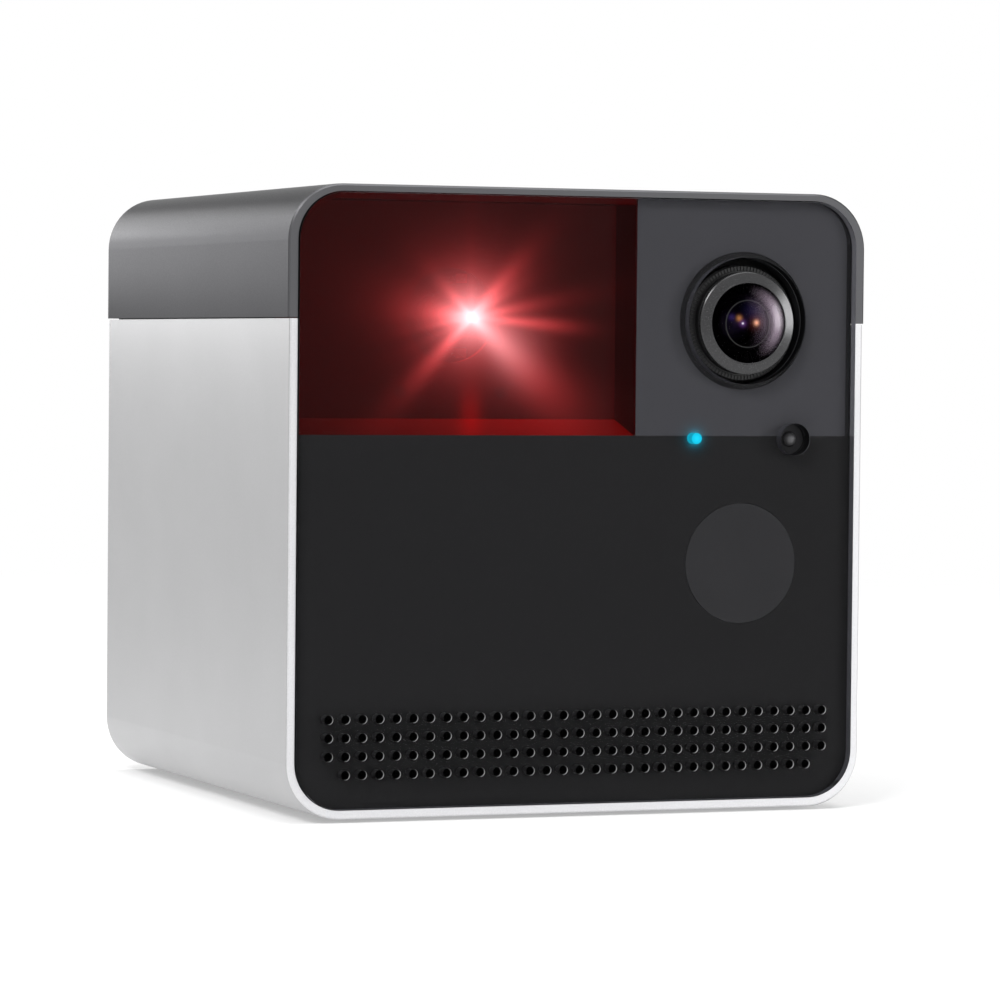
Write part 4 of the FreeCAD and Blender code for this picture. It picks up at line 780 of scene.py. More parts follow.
@dataclass(frozen=True)
class RedPlate(Plate):
    """Dyed red acrylic: deep red, with the laser's star painted as emission where its beam leaves.
    """

    star: Spot = (-15.2, 65.1)
    front: float = -38.1
    core: float = 0.3
    beams_most: float = 1.2
    beams_pale: float = 0.061
    foot: Spot = (-12.6, 3.6)
    foot_half: float = 1.5
    foot_level: float = 0.12
    blue: float = 1.06
    painted_haze: float = 0.0031
    haze_least: float = 0.0002
    haze_end: Spot = (3.9, 5.3)

    def streak(self, beam: Beam, across: Term, up: Term) -> Term:
        """One painted streak of the star.

        Args:
            beam: which streak.
            across, up: place right of the star's middle and above it.

        Returns:
            The streak's level.
        """
        angle, spread, level, reach, power = beam.value
        turn = math.radians(angle)
        out = across * math.cos(turn) + up * math.sin(turn)
        aside = up * math.cos(turn) - across * math.sin(turn)
        ahead = add_node(out.tree, "Math", {0: out, 1: 0.0}, operation="MAXIMUM")
        half = ahead * math.tan(math.radians(spread)) + self.core * MM
        shape = ((aside / half) ** 2.0).fade() * out.above(0.0)
        return shape * bell(ahead, reach, level, power)

    def shade(self, tree: Tree) -> Term:
        """The red plate, with the star and a faint haze that fades to the right painted as emission
        on its front face.

        Args:
            tree: the material's node tree.

        Returns:
            The finish's shader.
        """
        across = along(tree, "X") - self.star[0] * MM
        up = along(tree, "Z") - self.star[1] * MM
        front = along(tree, "Y").below(self.front * MM)
        radius = distance(tree, self.star)
        # Painted light: the star's streaks, halos and foot are emission on the plate's front face.
        streaks = {beam: self.streak(beam, across, up) for beam in Beam}
        every = sum(streaks.values())
        halo = {kind: bell(radius, *kind.value) for kind in Halo}

        low = ((up - self.foot[0] * MM) * (1 / (self.foot[1] * MM))) ** 2.0
        wide = (across * (1 / (self.foot_half * MM))) ** 2.0
        red = halo[Halo.RED] + every + self.foot_level * (low + wide).fade()
        pale = streaks[Beam.LOW_RIGHT] + streaks[Beam.LOW_RIGHT_WIDE]
        most = add_node(tree, "Math", {0: every, 1: self.beams_most}, operation="MINIMUM")
        pink = (most * (halo[Halo.ON_BEAMS] + self.beams_pale)
                + pale * halo[Halo.ON_PALE_BEAMS] + (halo[Halo.HOT] + halo[Halo.SOFT]))
        # Painted haze: faint pale emission that fades out towards the right.
        start, end = mm(*self.haze_end)
        painted_haze = add_node(tree, "MapRange", {
            "Value": along(tree, "X"), "From Min": start, "From Max": end,
            "To Min": self.painted_haze, "To Max": self.haze_least})
        colour = add_node(tree, "CombineXYZ", {
            "X": red * front, "Y": (pink + painted_haze) * front, "Z": (pink * self.blue + painted_haze) * front})
        star = add_node(tree, "Emission", {"Color": colour})
        return add_node(tree, "AddShader", {0: super().shade(tree), 1: star})


@dataclass(frozen=True)
class Chamber(Finish):
    """Matt black moulding round the laser, with painted red light from the laser.

    Each painted glow is its place, its reach in millimetres and its level.
    """

    colour: str = "#0A0708"
    glow: str = "#FF1A1E"
    laser: Glow = ((-15.27, -31.0, 65.4), 10.0, 0.05)
    painted_pool: Glow = ((-6.0, -34.0, 58.0), 15.0, 0.52)
    painted_back_glow: float = 0.030
    painted_base_glow: float = 0.0115
    facing: float = 0.6
    relief: float = 0.02

    def shade(self, tree: Tree) -> Term:
        """Painted red light: emission that falls off from the laser, a pool on the floor that faces
        up, more on the back wall and an even base.

        Args:
            tree: the material's node tree.

        Returns:
            The finish's shader.
        """
        # Painted light: red emission near the laser and in a pool on the upward floor, lit by no
        # lamp.
        near, beside = (bell(distance(tree, (x, z), y), reach, level, 1.0)
                        for (x, y, z), reach, level in (self.laser, self.painted_pool))
        normal = add_node(tree, "NewGeometry", out="True Normal")
        floor = add_node(tree, "SeparateXYZ", {0: normal}, "Z").above(self.facing)
        back = add_node(tree, "SeparateXYZ", {0: normal}, "Y").below(-self.facing)
        level = near + back * self.painted_back_glow + floor * beside + self.painted_base_glow
        relief = add_node(tree, "Bump", {
            "Strength": 0.5, "Distance": self.relief * MM, "Height": speckle(tree, 0.3)})
        return add_node(tree, "BsdfPrincipled", {
            "Base Color": srgb(self.colour), "Roughness": 0.75, "Specular IOR Level": 0.2,
            "Emission Color": srgb(self.glow),
            "Emission Strength": level * stretch(speckle(tree, 0.5, 3.0), 0.85, 1.15),
            "Normal": relief})


class PaintedGlint(Enum):
    """Painted glints on the front lens, in place of reflections of the lenses inside the camera.

    Each is its place right of the lens's axis and above it, its reach, its colour and its level.
    """

    AMBER = (0.65, 0.06, 0.34, "#FFB890", 0.85)
    RUST = (0.6, 0.1, 0.8, "#8A4030", 0.25)
    GOLD = (-1.8, 0.62, 0.36, "#D08850", 0.6)
    VIOLET = (-1.3, -0.05, 0.42, "#7A4A98", 0.5)
    SPARK = (-1.3, -0.05, 0.12, "#FFFFFF", 0.9)
    INDIGO = (-2.8, 0.75, 0.4, "#3A2A6C", 0.4)
    VEIL = (0.2, 1.5, 1.2, "#2A2450", 0.3)


@dataclass(frozen=True)
class FrontLens(Plate):
    """Coated front lens: near-black depth with a painted lavender reflection, its bloom, on its
    right.

    The bloom and the veil inside it are rings: where each starts, is full, starts to end and ends,
    as shares of the lens's radius, and its level.
    """

    radius: float = 5.25
    rim: Spot = (22.85, 64.65)
    rim_radius: float = 3.1
    rim_half: float = 0.07
    painted_rim_level: float = 0.035
    bloom_turn: float = 8.0
    bloom_power: float = 2.2
    bloom: tuple[float, ...] = (0.46, 0.74, 0.78, 1.0, 0.48)
    veil: tuple[float, ...] = (0.1, 0.5, 0.5, 0.62, 0.10)
    lavender: str = "#CDB6CC"

    def glints(self, tree: Tree) -> Term:
        """Painted glints in place of reflections of the elements inside, and a faint painted circle
        for their rim.

        Args:
            tree: the material's node tree.

        Returns:
            The glints' shader.
        """
        x, z = LENS_AXIS
        # Painted reflection: a faint circle for the inner elements' rim.
        thin = distance(tree, self.rim) - self.rim_radius * MM
        total = bell(thin, self.rim_half, self.painted_rim_level)
        # Painted glints: coloured emission spots for reflections of the elements inside.
        for glint in PaintedGlint:
            across, up, reach, code, level = glint.value
            fall = bell(distance(tree, (x + across, z + up)), reach, level)
            total = add_node(tree, "VectorMath", {0: total, 1: tint(srgb(code), fall)},
                             operation="ADD")
        within = add_node(tree, "NewGeometry", out="Backfacing")
        return add_node(tree, "Emission", {"Color": total, "Strength": within * -1.0 + 1.0})

    def shade(self, tree: Tree) -> Term:
        """The clear dome with its coating's bloom, a painted reflection placed on the lens's right
        side.

        Args:
            tree: the material's node tree.

        Returns:
            The finish's shader.
        """
        across = along(tree, "X") - LENS_AXIS[0] * MM
        up = along(tree, "Z") - LENS_AXIS[1] * MM
        radius = distance(tree, LENS_AXIS) * (1 / (self.radius * MM))
        angle = add_node(tree, "Math", {0: up, 1: across}, operation="ARCTAN2")
        side = add_node(tree, "Math", {0: angle - math.radians(self.bloom_turn)},
                        operation="COSINE")
        side = add_node(tree, "Math", {0: side, 1: 0.0}, operation="MAXIMUM") ** self.bloom_power

        # Painted reflection: the lavender bloom and veil, placed by radius and by angle towards the
        # right.
        seen: Term | float = 0.0
        for start, full, past, end, level in (self.bloom, self.veil):
            rise = add_node(tree, "MapRange", {
                "Value": radius, "From Min": start, "From Max": full},
                interpolation_type="SMOOTHSTEP")
            drop = add_node(tree, "MapRange", {
                "Value": radius, "From Min": past, "From Max": end, "To Min": 1.0, "To Max": 0.0},
                interpolation_type="SMOOTHSTEP")
            seen = rise * drop * side * level + seen
        coating = add_node(tree, "BsdfPrincipled", {
            "Base Color": srgb(self.lavender), "Roughness": 0.2})
        dome = add_node(tree, "MixShader", {0: seen, 1: super().shade(tree), 2: coating})
        return add_node(tree, "AddShader", {0: dome, 1: self.glints(tree)})


@dataclass(frozen=True)
class InnerLens(Finish):
    """Coated inner lens: violet-black, lighter violet in the middle as a painted coating
    reflection.
    """

    radius: float = 3.3
    middle: str = "#241A3A"
    rim: str = "#0A080C"
    rings: tuple[tuple[float, str], ...] = ((0.22, "#140E22"), (0.5, "#120E1A"), (0.7, "#0C0A10"))

    def shade(self, tree: Tree) -> Term:
        """Concentric colours, lighter violet in the middle: painted coating reflection.

        Args:
            tree: the material's node tree.

        Returns:
            The finish's shader.
        """
        radius = distance(tree, LENS_AXIS) * (1 / (self.radius * MM))
        # Painted reflection: a lighter violet middle that darkens to the rim.
        coating = add_node(tree, "ValToRGB", {0: radius})
        steps = coating.socket.node.color_ramp.elements
        steps[0].color, steps[1].color = srgb(self.middle), srgb(self.rim)
        for spot, code in self.rings:
            steps.new(spot).color = srgb(code)
        return add_node(tree, "BsdfPrincipled", {
            "Roughness": 0.08, "Specular IOR Level": 0.03, "Base Color": coating})


@dataclass(frozen=True)
class Lit(Finish):
    """A light pipe or emitter that shines: even colour with a brighter middle."""

    level: float = 1.0
    reach: float = 0.7
    middle: float = 1.08
    edge: float = 0.8

    def shade(self, tree: Tree) -> Term:
        """Emission that falls a little towards the edge.

        Args:
            tree: the material's node tree.

        Returns:
            The finish's shader.
        """
        radius = distance(tree, LIGHT_AXIS) * (1 / (self.reach * MM))
        strength = add_node(tree, "MapRange", {
            "Value": radius, "To Min": self.level * self.middle, "To Max": self.level * self.edge})
        return add_node(tree, "BsdfPrincipled", {
            "Base Color": srgb("#041418"), "Roughness": 0.5, "Specular IOR Level": 0.05,
            "Emission Color": srgb(CYAN), "Emission Strength": strength})


@dataclass(frozen=True)
class FloorPaper(Finish):
    """White paper that keeps the shadow near the object and shows plain white far off."""

    lift: float = 0.28
    shine: float = 0.55
    near: float = 0.12
    far: float = 0.6
    white: float = 0.72

    def shade(self, tree: Tree) -> Term:
        """Diffuse paper under an even light that only straight views and reflections see.

        Args:
            tree: the material's node tree.

        Returns:
            The finish's shader.
        """
        where = add_node(tree, "TexCoord", out="Object")
        away = add_node(tree, "VectorMath", {0: where}, "Value", operation="LENGTH")
        level, shine, shade = (add_node(tree, "MapRange", {
            "Value": away, "From Min": self.near, "From Max": self.far, "To Min": low,
            "To Max": high}) for low, high in (
                (self.lift, 1.0), (self.shine, 1.0), (self.white, 0.0)))
        camera, through, glossy = (add_node(tree, "LightPath", out=f"Is {kind} Ray")
                                   for kind in ("Camera", "Transmission", "Glossy"))
        straight = add_node(tree, "Math", {0: camera, 1: through}, operation="MAXIMUM")
        paper = add_node(tree, "BsdfDiffuse", {"Color": tint((1, 1, 1), shade)})
        lift = add_node(tree, "Emission", {
            "Color": (1, 1, 1, 1), "Strength": straight * level + glossy * shine})
        return add_node(tree, "AddShader", {0: paper, 1: lift})


# The finish of each material slot.
SLOT_FINISHES: dict[str, Finish] = {
    # Bead-blasted and clear anodised: an even pale sheen with sparkling grain.
    "silver_aluminium": Metal("anodised_aluminium", "#A6A6A7", 0.42, 0.2, 0.075, 0.008,
                              rim_colour="#C8C8CA"),
    # Metallic lacquer on die-cast metal: dark, satin, a little softer than the body.
    "gunmetal_cap": Metal("lacquered_zinc", "#4C4C4E", 0.34, 0.18, 0.05, 0.006,
                          rim_colour="#565658", edge=0.5),
    # Cast acrylic: nearly invisible but for its thin reflection.
    "clear_window": Plate("clear_acrylic", ior=1.07),
    # Screen-printed ink: dead flat under the clear plate, with a painted cyan glow round the status
    # light.
    "black_print": Ink("black_ink", "#262627"),
    "grey_print": Ink("charcoal_ink", "#454549"),
    # Dyed acrylic: deep red, and black where nothing is lit behind it; the laser's star and a faint
    # haze are painted light on its front.
    "red_filter": RedPlate("red_acrylic", "#D8303A", 1.04),
    # Glass-filled nylon: black, with a fine matt skin.
    "black_moulding": Plastic("black_nylon", "#101012", 0.55),
    # Matt ABS: soaks up light; the dull red near the laser is painted light.
    "chamber_moulding": Chamber("matt_black_abs"),
    # Infrared-clear polycarbonate: smoky dark grey.
    "infrared_disc": Plastic("smoked_polycarbonate", "#2F2F31", 0.4, 0.4, 0.03, 0.002, 0.05),
    # Silicone rubber: dull, with a dusty bloom.
    "black_rubber": Plastic("silicone_rubber", "#1A1A1C", 0.78, 0.35, 0.10, 0.02, 0.3),
    # Nickel-plated steel: cool and bright.
    "steel": Metal("nickel_steel", "#A9A9A8", 0.3, 0.15),
    # Turned brass: warm yellow, slightly worn.
    "brass": Metal("turned_brass", "#C9A65A", 0.32, 0.2, 0.08),
    # Solder-masked laminate: deep green with a thin gloss.
    "board": Plastic("green_laminate", "#123A24", 0.42, 0.6, 0.10, 0.01, 0.5, 0.2),
    # Moulded epoxy: dull charcoal.
    "black_chip": Plastic("epoxy_chip", "#1C1C1E", 0.6, 0.2),
    # Black anodised lens barrel: dark satin with a sparkling cut grip.
    "lens_black": Metal("black_anodised_barrel", "#1C1C1D", 0.42, 0.2, 0.25, 0.03, 0.3),
    # Conical ring, satin black-nickel: dark, and bright only where it faces the light.
    "lens_ring": Metal("black_nickel_ring", "#3A3A3B", 0.24, 0.16, 0.12, 0.012, 0.6),
    # Coated glass: clear black depth, with a painted lavender reflection on its right and painted
    # glints.
    "coated_glass": FrontLens("coated_lens_glass", "#F4F0F6", 1.03, 0.05),
    # Light pipe and emitter: an even cyan glow.
    "light_pipe": Lit("acrylic_light_pipe"),
    "emitter": Lit("lit_emitter"),
    # Acetal gears: waxy white.
    "white_nylon": Plastic("acetal", "#E6E3DA", 0.4, 0.4, 0.02),
    # Woven polyester: black, with a fine crossed grain.
    "dust_mesh": Weave("polyester_mesh"),
    # Pressed paper cone: dull black with fibres.
    "black_paper": Plastic("pressed_paper", "#161514", 0.85, 0.5, 0.12, 0.03, 0.2),
    # Enamelled wire: warm orange sheen.
    "copper": Metal("enamelled_copper", "#B4643C", 0.3, 0.2, 0.1),
    # Polyimide film: translucent orange-brown.
    "polyimide": Plastic("polyimide_film", "#9A5A1C", 0.3, 1.0, 0.05),
    # Black anodised metal: near black with a faint sheen.
    "black_anodised": Metal("black_anodised_metal", "#161617", 0.5, 0.2, 0.15, 0.01, 0.2),
}

# The finishes of single nodes that differ from their slot's.
NODE_FINISHES: dict[str, Finish] = {
    # Filled nylon behind the plate: flat charcoal.
    "front_frame": Plastic("charcoal_nylon", "#222224", 0.6, 0.3, 0.05, 0.005, 0.1),
    # Brass and steel painted near black as shade, so that little shows through the red window.
    "laser_module": Metal("brass_in_painted_shade", "#241A12", 0.55, 0.2, 0.1, 0.01, 0.3),
    "laser_bracket": Metal("steel_in_painted_shade", "#101011", 0.6, 0.2, 0.1, 0.01, 0.2),
    "bracket_screws": Metal("screws_in_painted_shade", "#101011", 0.6, 0.2, 0.1, 0.01, 0.2),
    # Coated inner glass: violet-black, with a painted coating reflection in its middle.
    "inner_lens": InnerLens("coated_inner_glass"),
    # Smoked dome of the light sensor: mid grey and glossy.
    "light_sensor": Plastic("smoked_sensor_dome", "#646466", 0.3, 0.3, 0.04, 0.003, 0.3),
}


# ---- sub-assemblies


class Dresser:
    """Gives each piece its finish."""

    def __init__(self) -> None:
        """Makes the slots' materials."""
        self.materials = {slot: finish.make() for slot, finish in SLOT_FINISHES.items()}

    def dress_nodes(self) -> None:
        """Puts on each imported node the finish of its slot, or its own."""
        for subpart in frame["record"]["subparts"]:
            coat(frame["nodes"][subpart["node"]], self.materials[subpart["material_slot"]])
        for node, finish in NODE_FINISHES.items():
            coat(frame["nodes"][node], finish.make())
        LOG.info("packed nodes dressed: %d", len(frame["nodes"]))

    def fit(self, piece: Piece, slot: str, *nodes: str, body: str = CASE) -> None:
        """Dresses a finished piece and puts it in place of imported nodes."""
        coat(piece, self.materials[slot])
        place(piece, body, slot, *nodes)


@dataclass
class Housing:
    """The back cover, its dust mesh and screws, the foot and the tripod socket's thread."""

    dresser: Dresser
    mesh_y: float = 38.52
    mesh_half: float = 24.6
    mesh_span: Spot = (48.2, 67.0)
    mesh_thickness: float = 0.12
    mesh_border: float = 1.0
    mesh_sag: float = 0.03
    screw_x: float = 35.95
    screw_low: float = 4.8
    screw_high: float = 77.6
    screw_head: float = 0.9
    screw_turn: float = 37.0
    head_radius: float = 1.7
    shank_radius: float = 0.9
    shank_length: float = 2.5
    recess: Place = (1.9, 1.1, 0.42)
    head_edge: float = 0.32
    cover_y: float = 40.7
    cover_edge: float = 0.18
    foot_edge: float = 0.22
    frame_y: float = -38.2
    thread_low: float = 0.75
    thread_turns: int = 4
    thread_radius: float = 3.175
    thread_minor: float = 2.62
    thread_pitch: float = 1.27
    thread_crest: Spot = (0.45, 0.55)
    socket: Spot = (0.0, 0.95)

    def build(self) -> None:
        """Makes every piece of the housing."""
        self.back_cover()
        self.vent_mesh()
        self.screws()
        self.foot()
        self.socket_thread()

    def back_cover(self) -> None:
        """Back cover with broken edges along its outline, vents and openings."""
        cover = copy_node("rear_cover", "rear_cover_edged")
        soften(cover, self.cover_edge, 50.0)
        smooth(cover, plane=True)
        self.dresser.fit(cover, "black_moulding", "rear_cover")

    def vent_mesh(self) -> None:
        """Woven dust mesh in a welded border, on the cover's inside behind the vents."""
        low, high = self.mesh_span
        mesh = box("vent_dust_mesh", (0, self.mesh_y, (low + high) / 2),
                   (2 * self.mesh_half, self.mesh_thickness, high - low))
        pick_faces(mesh, lambda face: abs(face.normal.y) > FACING)
        with editing(mesh, "FACE"):
            bpy.ops.mesh.inset(thickness=self.mesh_border * MM, depth=-self.mesh_sag * MM)
        soften(mesh, 0.02)
        self.dresser.fit(mesh, "dust_mesh")

    def screw(self, name: str) -> Piece:
        """A pan-head screw with a cross recess, its head's seat at the origin, its axis along Y.

        Args:
            name: the screw's name.

        Returns:
            The screw.
        """
        pick()
        bpy.ops.mesh.primitive_cylinder_add(
            vertices=36, radius=self.head_radius * MM, depth=self.screw_head * MM,
            location=(0, self.screw_head * MM / 2, 0), rotation=(math.pi / 2, 0, 0))
        head = settle(bpy.context.object, name)
        middle = 0.5 * self.screw_head * MM
        pick_faces(head, lambda face: abs(face.normal.y) > FACING and face.center.y > middle)
        with editing(head, "FACE"):
            bpy.ops.mesh.bevel(offset=self.head_edge * MM, segments=4, affect="EDGES")
        pick_faces(head, lambda face: face.normal.y < -FACING)
        with editing(head, "FACE"):
            bpy.ops.mesh.inset(thickness=(self.head_radius - self.shank_radius) * MM)
            bpy.ops.mesh.extrude_region_move(
                TRANSFORM_OT_translate={"value": mm(0, -self.shank_length, 0)})
        for turn in (0.0, math.pi / 2):
            cutter = box("recess_cutter", (0, self.screw_head, 0), self.recess, turn)
            soften(cutter, 0.08)
            pick(head)
            notch = head.modifiers.new("recess", "BOOLEAN")
            notch.operation = "DIFFERENCE"
            notch.solver = "EXACT"
            notch.object = cutter
            bpy.ops.object.modifier_apply(modifier=notch.name)
            bpy.data.objects.remove(cutter)
        smooth(head)
        return head

    def screws(self) -> None:
        """Four screws in the back cover and two behind the front plate, each turned differently."""
        seats = [(side * self.screw_x, self.cover_y - self.screw_head, height, 0.0)
                 for side in (-1, 1) for height in (self.screw_low, self.screw_high)]
        seats += [(side * self.screw_x, self.frame_y + self.screw_head, self.screw_low, math.pi)
                  for side in (-1, 1)]
        moves = [Matrix.Translation(Vector((x, y, z)) * MM) @ Matrix.Rotation(flip, 4, "Z")
                 @ Matrix.Rotation(math.radians(self.screw_turn * number), 4, "Y")
                 for number, (x, y, z, flip) in enumerate(seats)]
        screws = join_copies(self.screw("case_screw_pattern"), "cross_head_screws", moves)
        self.dresser.fit(screws, "steel", "case_screws")

    def foot(self) -> None:
        """Rubber foot with rolled edges."""
        foot = copy_node("foot_pad", "foot_pad_rolled")
        soften(foot, self.foot_edge, 50.0, 3)
        smooth(foot)
        self.dresser.fit(foot, "black_rubber", "foot_pad")

    def socket_thread(self) -> None:
        """The quarter-inch thread's ridges, as rings at its pitch."""
        outline = [(self.thread_radius, self.thread_low)]
        for turn in range(self.thread_turns):
            base = self.thread_low + turn * self.thread_pitch
            outline += [(self.thread_minor, base + share * self.thread_pitch)
                        for share in self.thread_crest]
            outline.append((self.thread_radius, base + self.thread_pitch))
        thread = spin_ring("tripod_thread_ridges", (*self.socket, 0), "Z", outline, 48)
        smooth(thread, 25.0)
        self.dresser.fit(thread, "brass")


class Wall(Enum):
    """The window's faces and walls, by material slot."""

    FACE = 0
    OUTLINE = 1
    GRILLE = 2
    LIGHT = 3
    BORE = 4


@dataclass
class FrontPlate:
    """The clear window with its cut edges, and the printed field behind it."""

    dresser: Dresser
    back: float = -38.4
    air_gap: float = 0.03
    light_reach: float = 1.2
    lens_reach: float = 9.0
    sensor_reach: float = 2.6
    grille_half: float = 37.5
    grille_span: Spot = (3.0, 20.0)
    print_top: float = 80.43
    print_corner: float = 5.33
    print_rise: float = 0.46
    walls: tuple[tuple[Wall, Finish], ...] = (
        # Cut outline: a thin pale line in front, dark behind it; seen from inside the plate,
        # painted lighter than the print so that it matches the lit print.
        (Wall.OUTLINE, GroundEdge("ground_acrylic_edge", outside="#4A4A4F",
                                  outside_high="#6A6A70", lets_light=True)),
        # Drilled holes: a bright fine rim.
        (Wall.GRILLE, GroundEdge("drilled_acrylic", ground="#BCBCBE", outside="#29292A", line=0.2)),
        # The hole over the light pipe: its wall glows cyan, painted light from the status light.
        (Wall.LIGHT, Lit("lit_hole_wall", level=0.6)),
        # Bores of the lens and the light sensor: dark, with a thin pale rim; seen from inside the
        # plate, darker than the charcoal print round the lens as a painted shadow.
        (Wall.BORE, GroundEdge("bored_acrylic", outside="#2C2C30", outside_high="#3C3C41")),
    )

    def build(self) -> None:
        """Makes the window and the printed field behind it."""
        self.window()
        self.charcoal_print()

    def window(self) -> None:
        """The window, an air gap before the print, with another finish on its walls."""
        window = copy_node("front_window", "front_window_ground", dissolve=False)
        limit = (self.back - 0.01) * MM
        corners = window.data.vertices
        pick_faces(window, lambda face: all(corners[i].co.y > limit for i in face.vertices))
        with editing(window, "FACE"):
            bpy.ops.transform.translate(value=mm(0, -self.air_gap, 0))
        window.data.materials.append(self.dresser.materials["clear_window"])
        for _, finish in self.walls:
            window.data.materials.append(finish.make())
        for face in window.data.polygons:
            wall = Wall.FACE if abs(face.normal.y) > 0.5 else self.wall(face.center)
            face.material_index = wall.value
        smooth(window, plane=True)
        place(window, CASE, "clear_window", "front_window")

    def wall(self, spot: Vector) -> Wall:
        """Tells which kind of wall a face belongs to.

        Args:
            spot: the face's middle, in metres.

        Returns:
            The kind of wall.
        """
        if off_axis(spot, LIGHT_AXIS) < self.light_reach * MM:
            return Wall.LIGHT
        if (off_axis(spot, LENS_AXIS) < self.lens_reach * MM
                or off_axis(spot, SENSOR_AXIS) < self.sensor_reach * MM):
            return Wall.BORE
        low, high = mm(*self.grille_span)
        if abs(spot.x) < self.grille_half * MM and low < spot.z < high:
            return Wall.GRILLE
        return Wall.OUTLINE

    def charcoal_print(self) -> None:
        """Printed field round the lens, drawn up to the window's top edge."""
        field = copy_node("camera_mask", "charcoal_print")
        bend = (self.print_top - self.print_corner) * MM
        clear_picks(field.data)
        for vertex in field.data.vertices:
            vertex.select = vertex.co.z > bend
        with editing(field, "VERT"):
            bpy.ops.transform.resize(value=(1, 1, 1 + self.print_rise / self.print_corner),
                                     center_override=(0, 0, bend))
        smooth(field, plane=True)
        self.dresser.fit(field, "grey_print", "camera_mask")


@dataclass
class Eye:
    """The camera's barrel, its rings and the light sensor's boot."""

    dresser: Dresser
    teeth: int = 96
    tooth: float = 0.14
    barrel_outline: tuple[Spot, ...] = (
        (5.35, 0.8), (6.68, 0.8), (6.75, 0.87), (6.75, 1.9), (6.95, 1.9), (7.0, 1.95), (7.52, 1.98),
        (7.7, 2.2), (7.7, 4.3), (7.6, 4.4), (6.0, 4.4), (6.0, 17.0), (3.3, 17.0), (3.3, 3.4),
        (5.35, 3.4))
    grip_span: Spot = (1.95, 2.0)
    inside_radius: float = 5.6
    inside_depth: float = 0.9
    ring_outline: tuple[Spot, ...] = (
        (5.29, 0.8), (5.29, -0.36), (5.33, -0.4), (5.44, -0.37), (5.48, -0.32), (6.62, 0.03),
        (6.75, 0.14), (6.75, 0.8))
    baffle_seat: float = 3.4
    baffle_outline: tuple[Spot, ...] = (
        (2.8, 0.0), (2.8, -0.14), (2.86, -0.2), (3.0, -0.2), (3.1, -0.1), (4.16, -0.08),
        (4.16, 0.0))
    baffle_edge: Spot = (2.83, 2.9)
    boot_edge: float = 0.12

    def build(self) -> None:
        """Makes the barrel, the rings and the sensor's boot."""
        # Matt black paint: soaks up the light inside the barrel.
        paint = Plastic("matt_black_paint", "#050505", 0.9, 0.3, 0.1, 0.01, 0.0).make()
        self.barrel(paint)
        self.ring()
        self.baffle(paint)
        self.boot()

    def turned(self, name: str, seat: float, outline: Sequence[Spot], steps: int) -> Piece:
        """A piece turned about the lens's axis.

        Args:
            name: the piece's name.
            seat: its place behind the window's front, in millimetres.
            outline: radius and place behind the seat of each corner, in millimetres.
            steps: faces round the piece.

        Returns:
            The piece.
        """
        start = WINDOW_FRONT + seat
        return spin_ring(name, (LENS_AXIS[0], 0, LENS_AXIS[1]), "Y",
                         [(radius, start + depth) for radius, depth in outline], steps)

    def barrel(self, paint: Material) -> None:
        """Barrel with a toothed grip on its shoulder and black paint inside.

        Args:
            paint: the paint's material.
        """
        x, z = mm(*LENS_AXIS)
        steps = 2 * self.teeth
        barrel = self.turned("lens_barrel_knurled", 0.0, self.barrel_outline, steps)
        front, back = ((WINDOW_FRONT + depth) * MM for depth in self.grip_span)

        def is_tooth(face: bpy.types.MeshPolygon) -> bool:
            """Finds every second face of the shoulder's front band.

            Args:
                face: a face of the barrel.

            Returns:
                Whether a tooth rises from it.
            """
            angle = math.atan2(face.center.z - z, face.center.x - x)
            number = int(math.floor(angle / (2 * math.pi) * steps))
            return front < face.center.y < back and number % 2 == 0

        LOG.info("grip teeth: %d", pick_faces(barrel, is_tooth))
        with editing(barrel, "FACE"):
            bpy.ops.mesh.extrude_region_move(
                TRANSFORM_OT_translate={"value": mm(0, -self.tooth, 0)})
        smooth(barrel, 25.0)
        inside = (WINDOW_FRONT + self.inside_depth) * MM
        two_coats(barrel, self.dresser.materials["lens_black"], paint, lambda face: (
            off_axis(face.center, LENS_AXIS) < self.inside_radius * MM and face.center.y > inside))
        place(barrel, CASE, "lens_black", "lens_barrel")

    def ring(self) -> None:
        """Conical retaining ring with broken edges and one fine step near its rim."""
        ring = self.turned("lens_ring_turned", 0.0, self.ring_outline, 128)
        smooth(ring, 20.0)
        self.dresser.fit(ring, "lens_ring", "lens_retaining_ring")

    def baffle(self, paint: Material) -> None:
        """Thin stepped ring under the front lens, seen as a faint circle.

        Args:
            paint: the material of all but its edge.
        """
        baffle = self.turned("lens_baffle", self.baffle_seat, self.baffle_outline, 96)
        smooth(baffle, 20.0)
        inner, outer = mm(*self.baffle_edge)
        two_coats(baffle, paint, self.dresser.materials["lens_black"],
                  lambda face: inner < off_axis(face.center, LENS_AXIS) < outer)
        place(baffle, CASE, "lens_black")

    def boot(self) -> None:
        """Rubber boot of the light sensor with rolled edges."""
        boot = copy_node("sensor_boot", "sensor_boot_rolled")
        soften(boot, self.boot_edge, 50.0, 3)
        smooth(boot)
        # Grey rubber: dull, a little lighter than the print round it.
        coat(boot, Plastic("grey_rubber", "#38383A", 0.78, 0.3, 0.1, 0.01, 0.3).make())
        place(boot, CASE, "black_rubber", "sensor_boot")


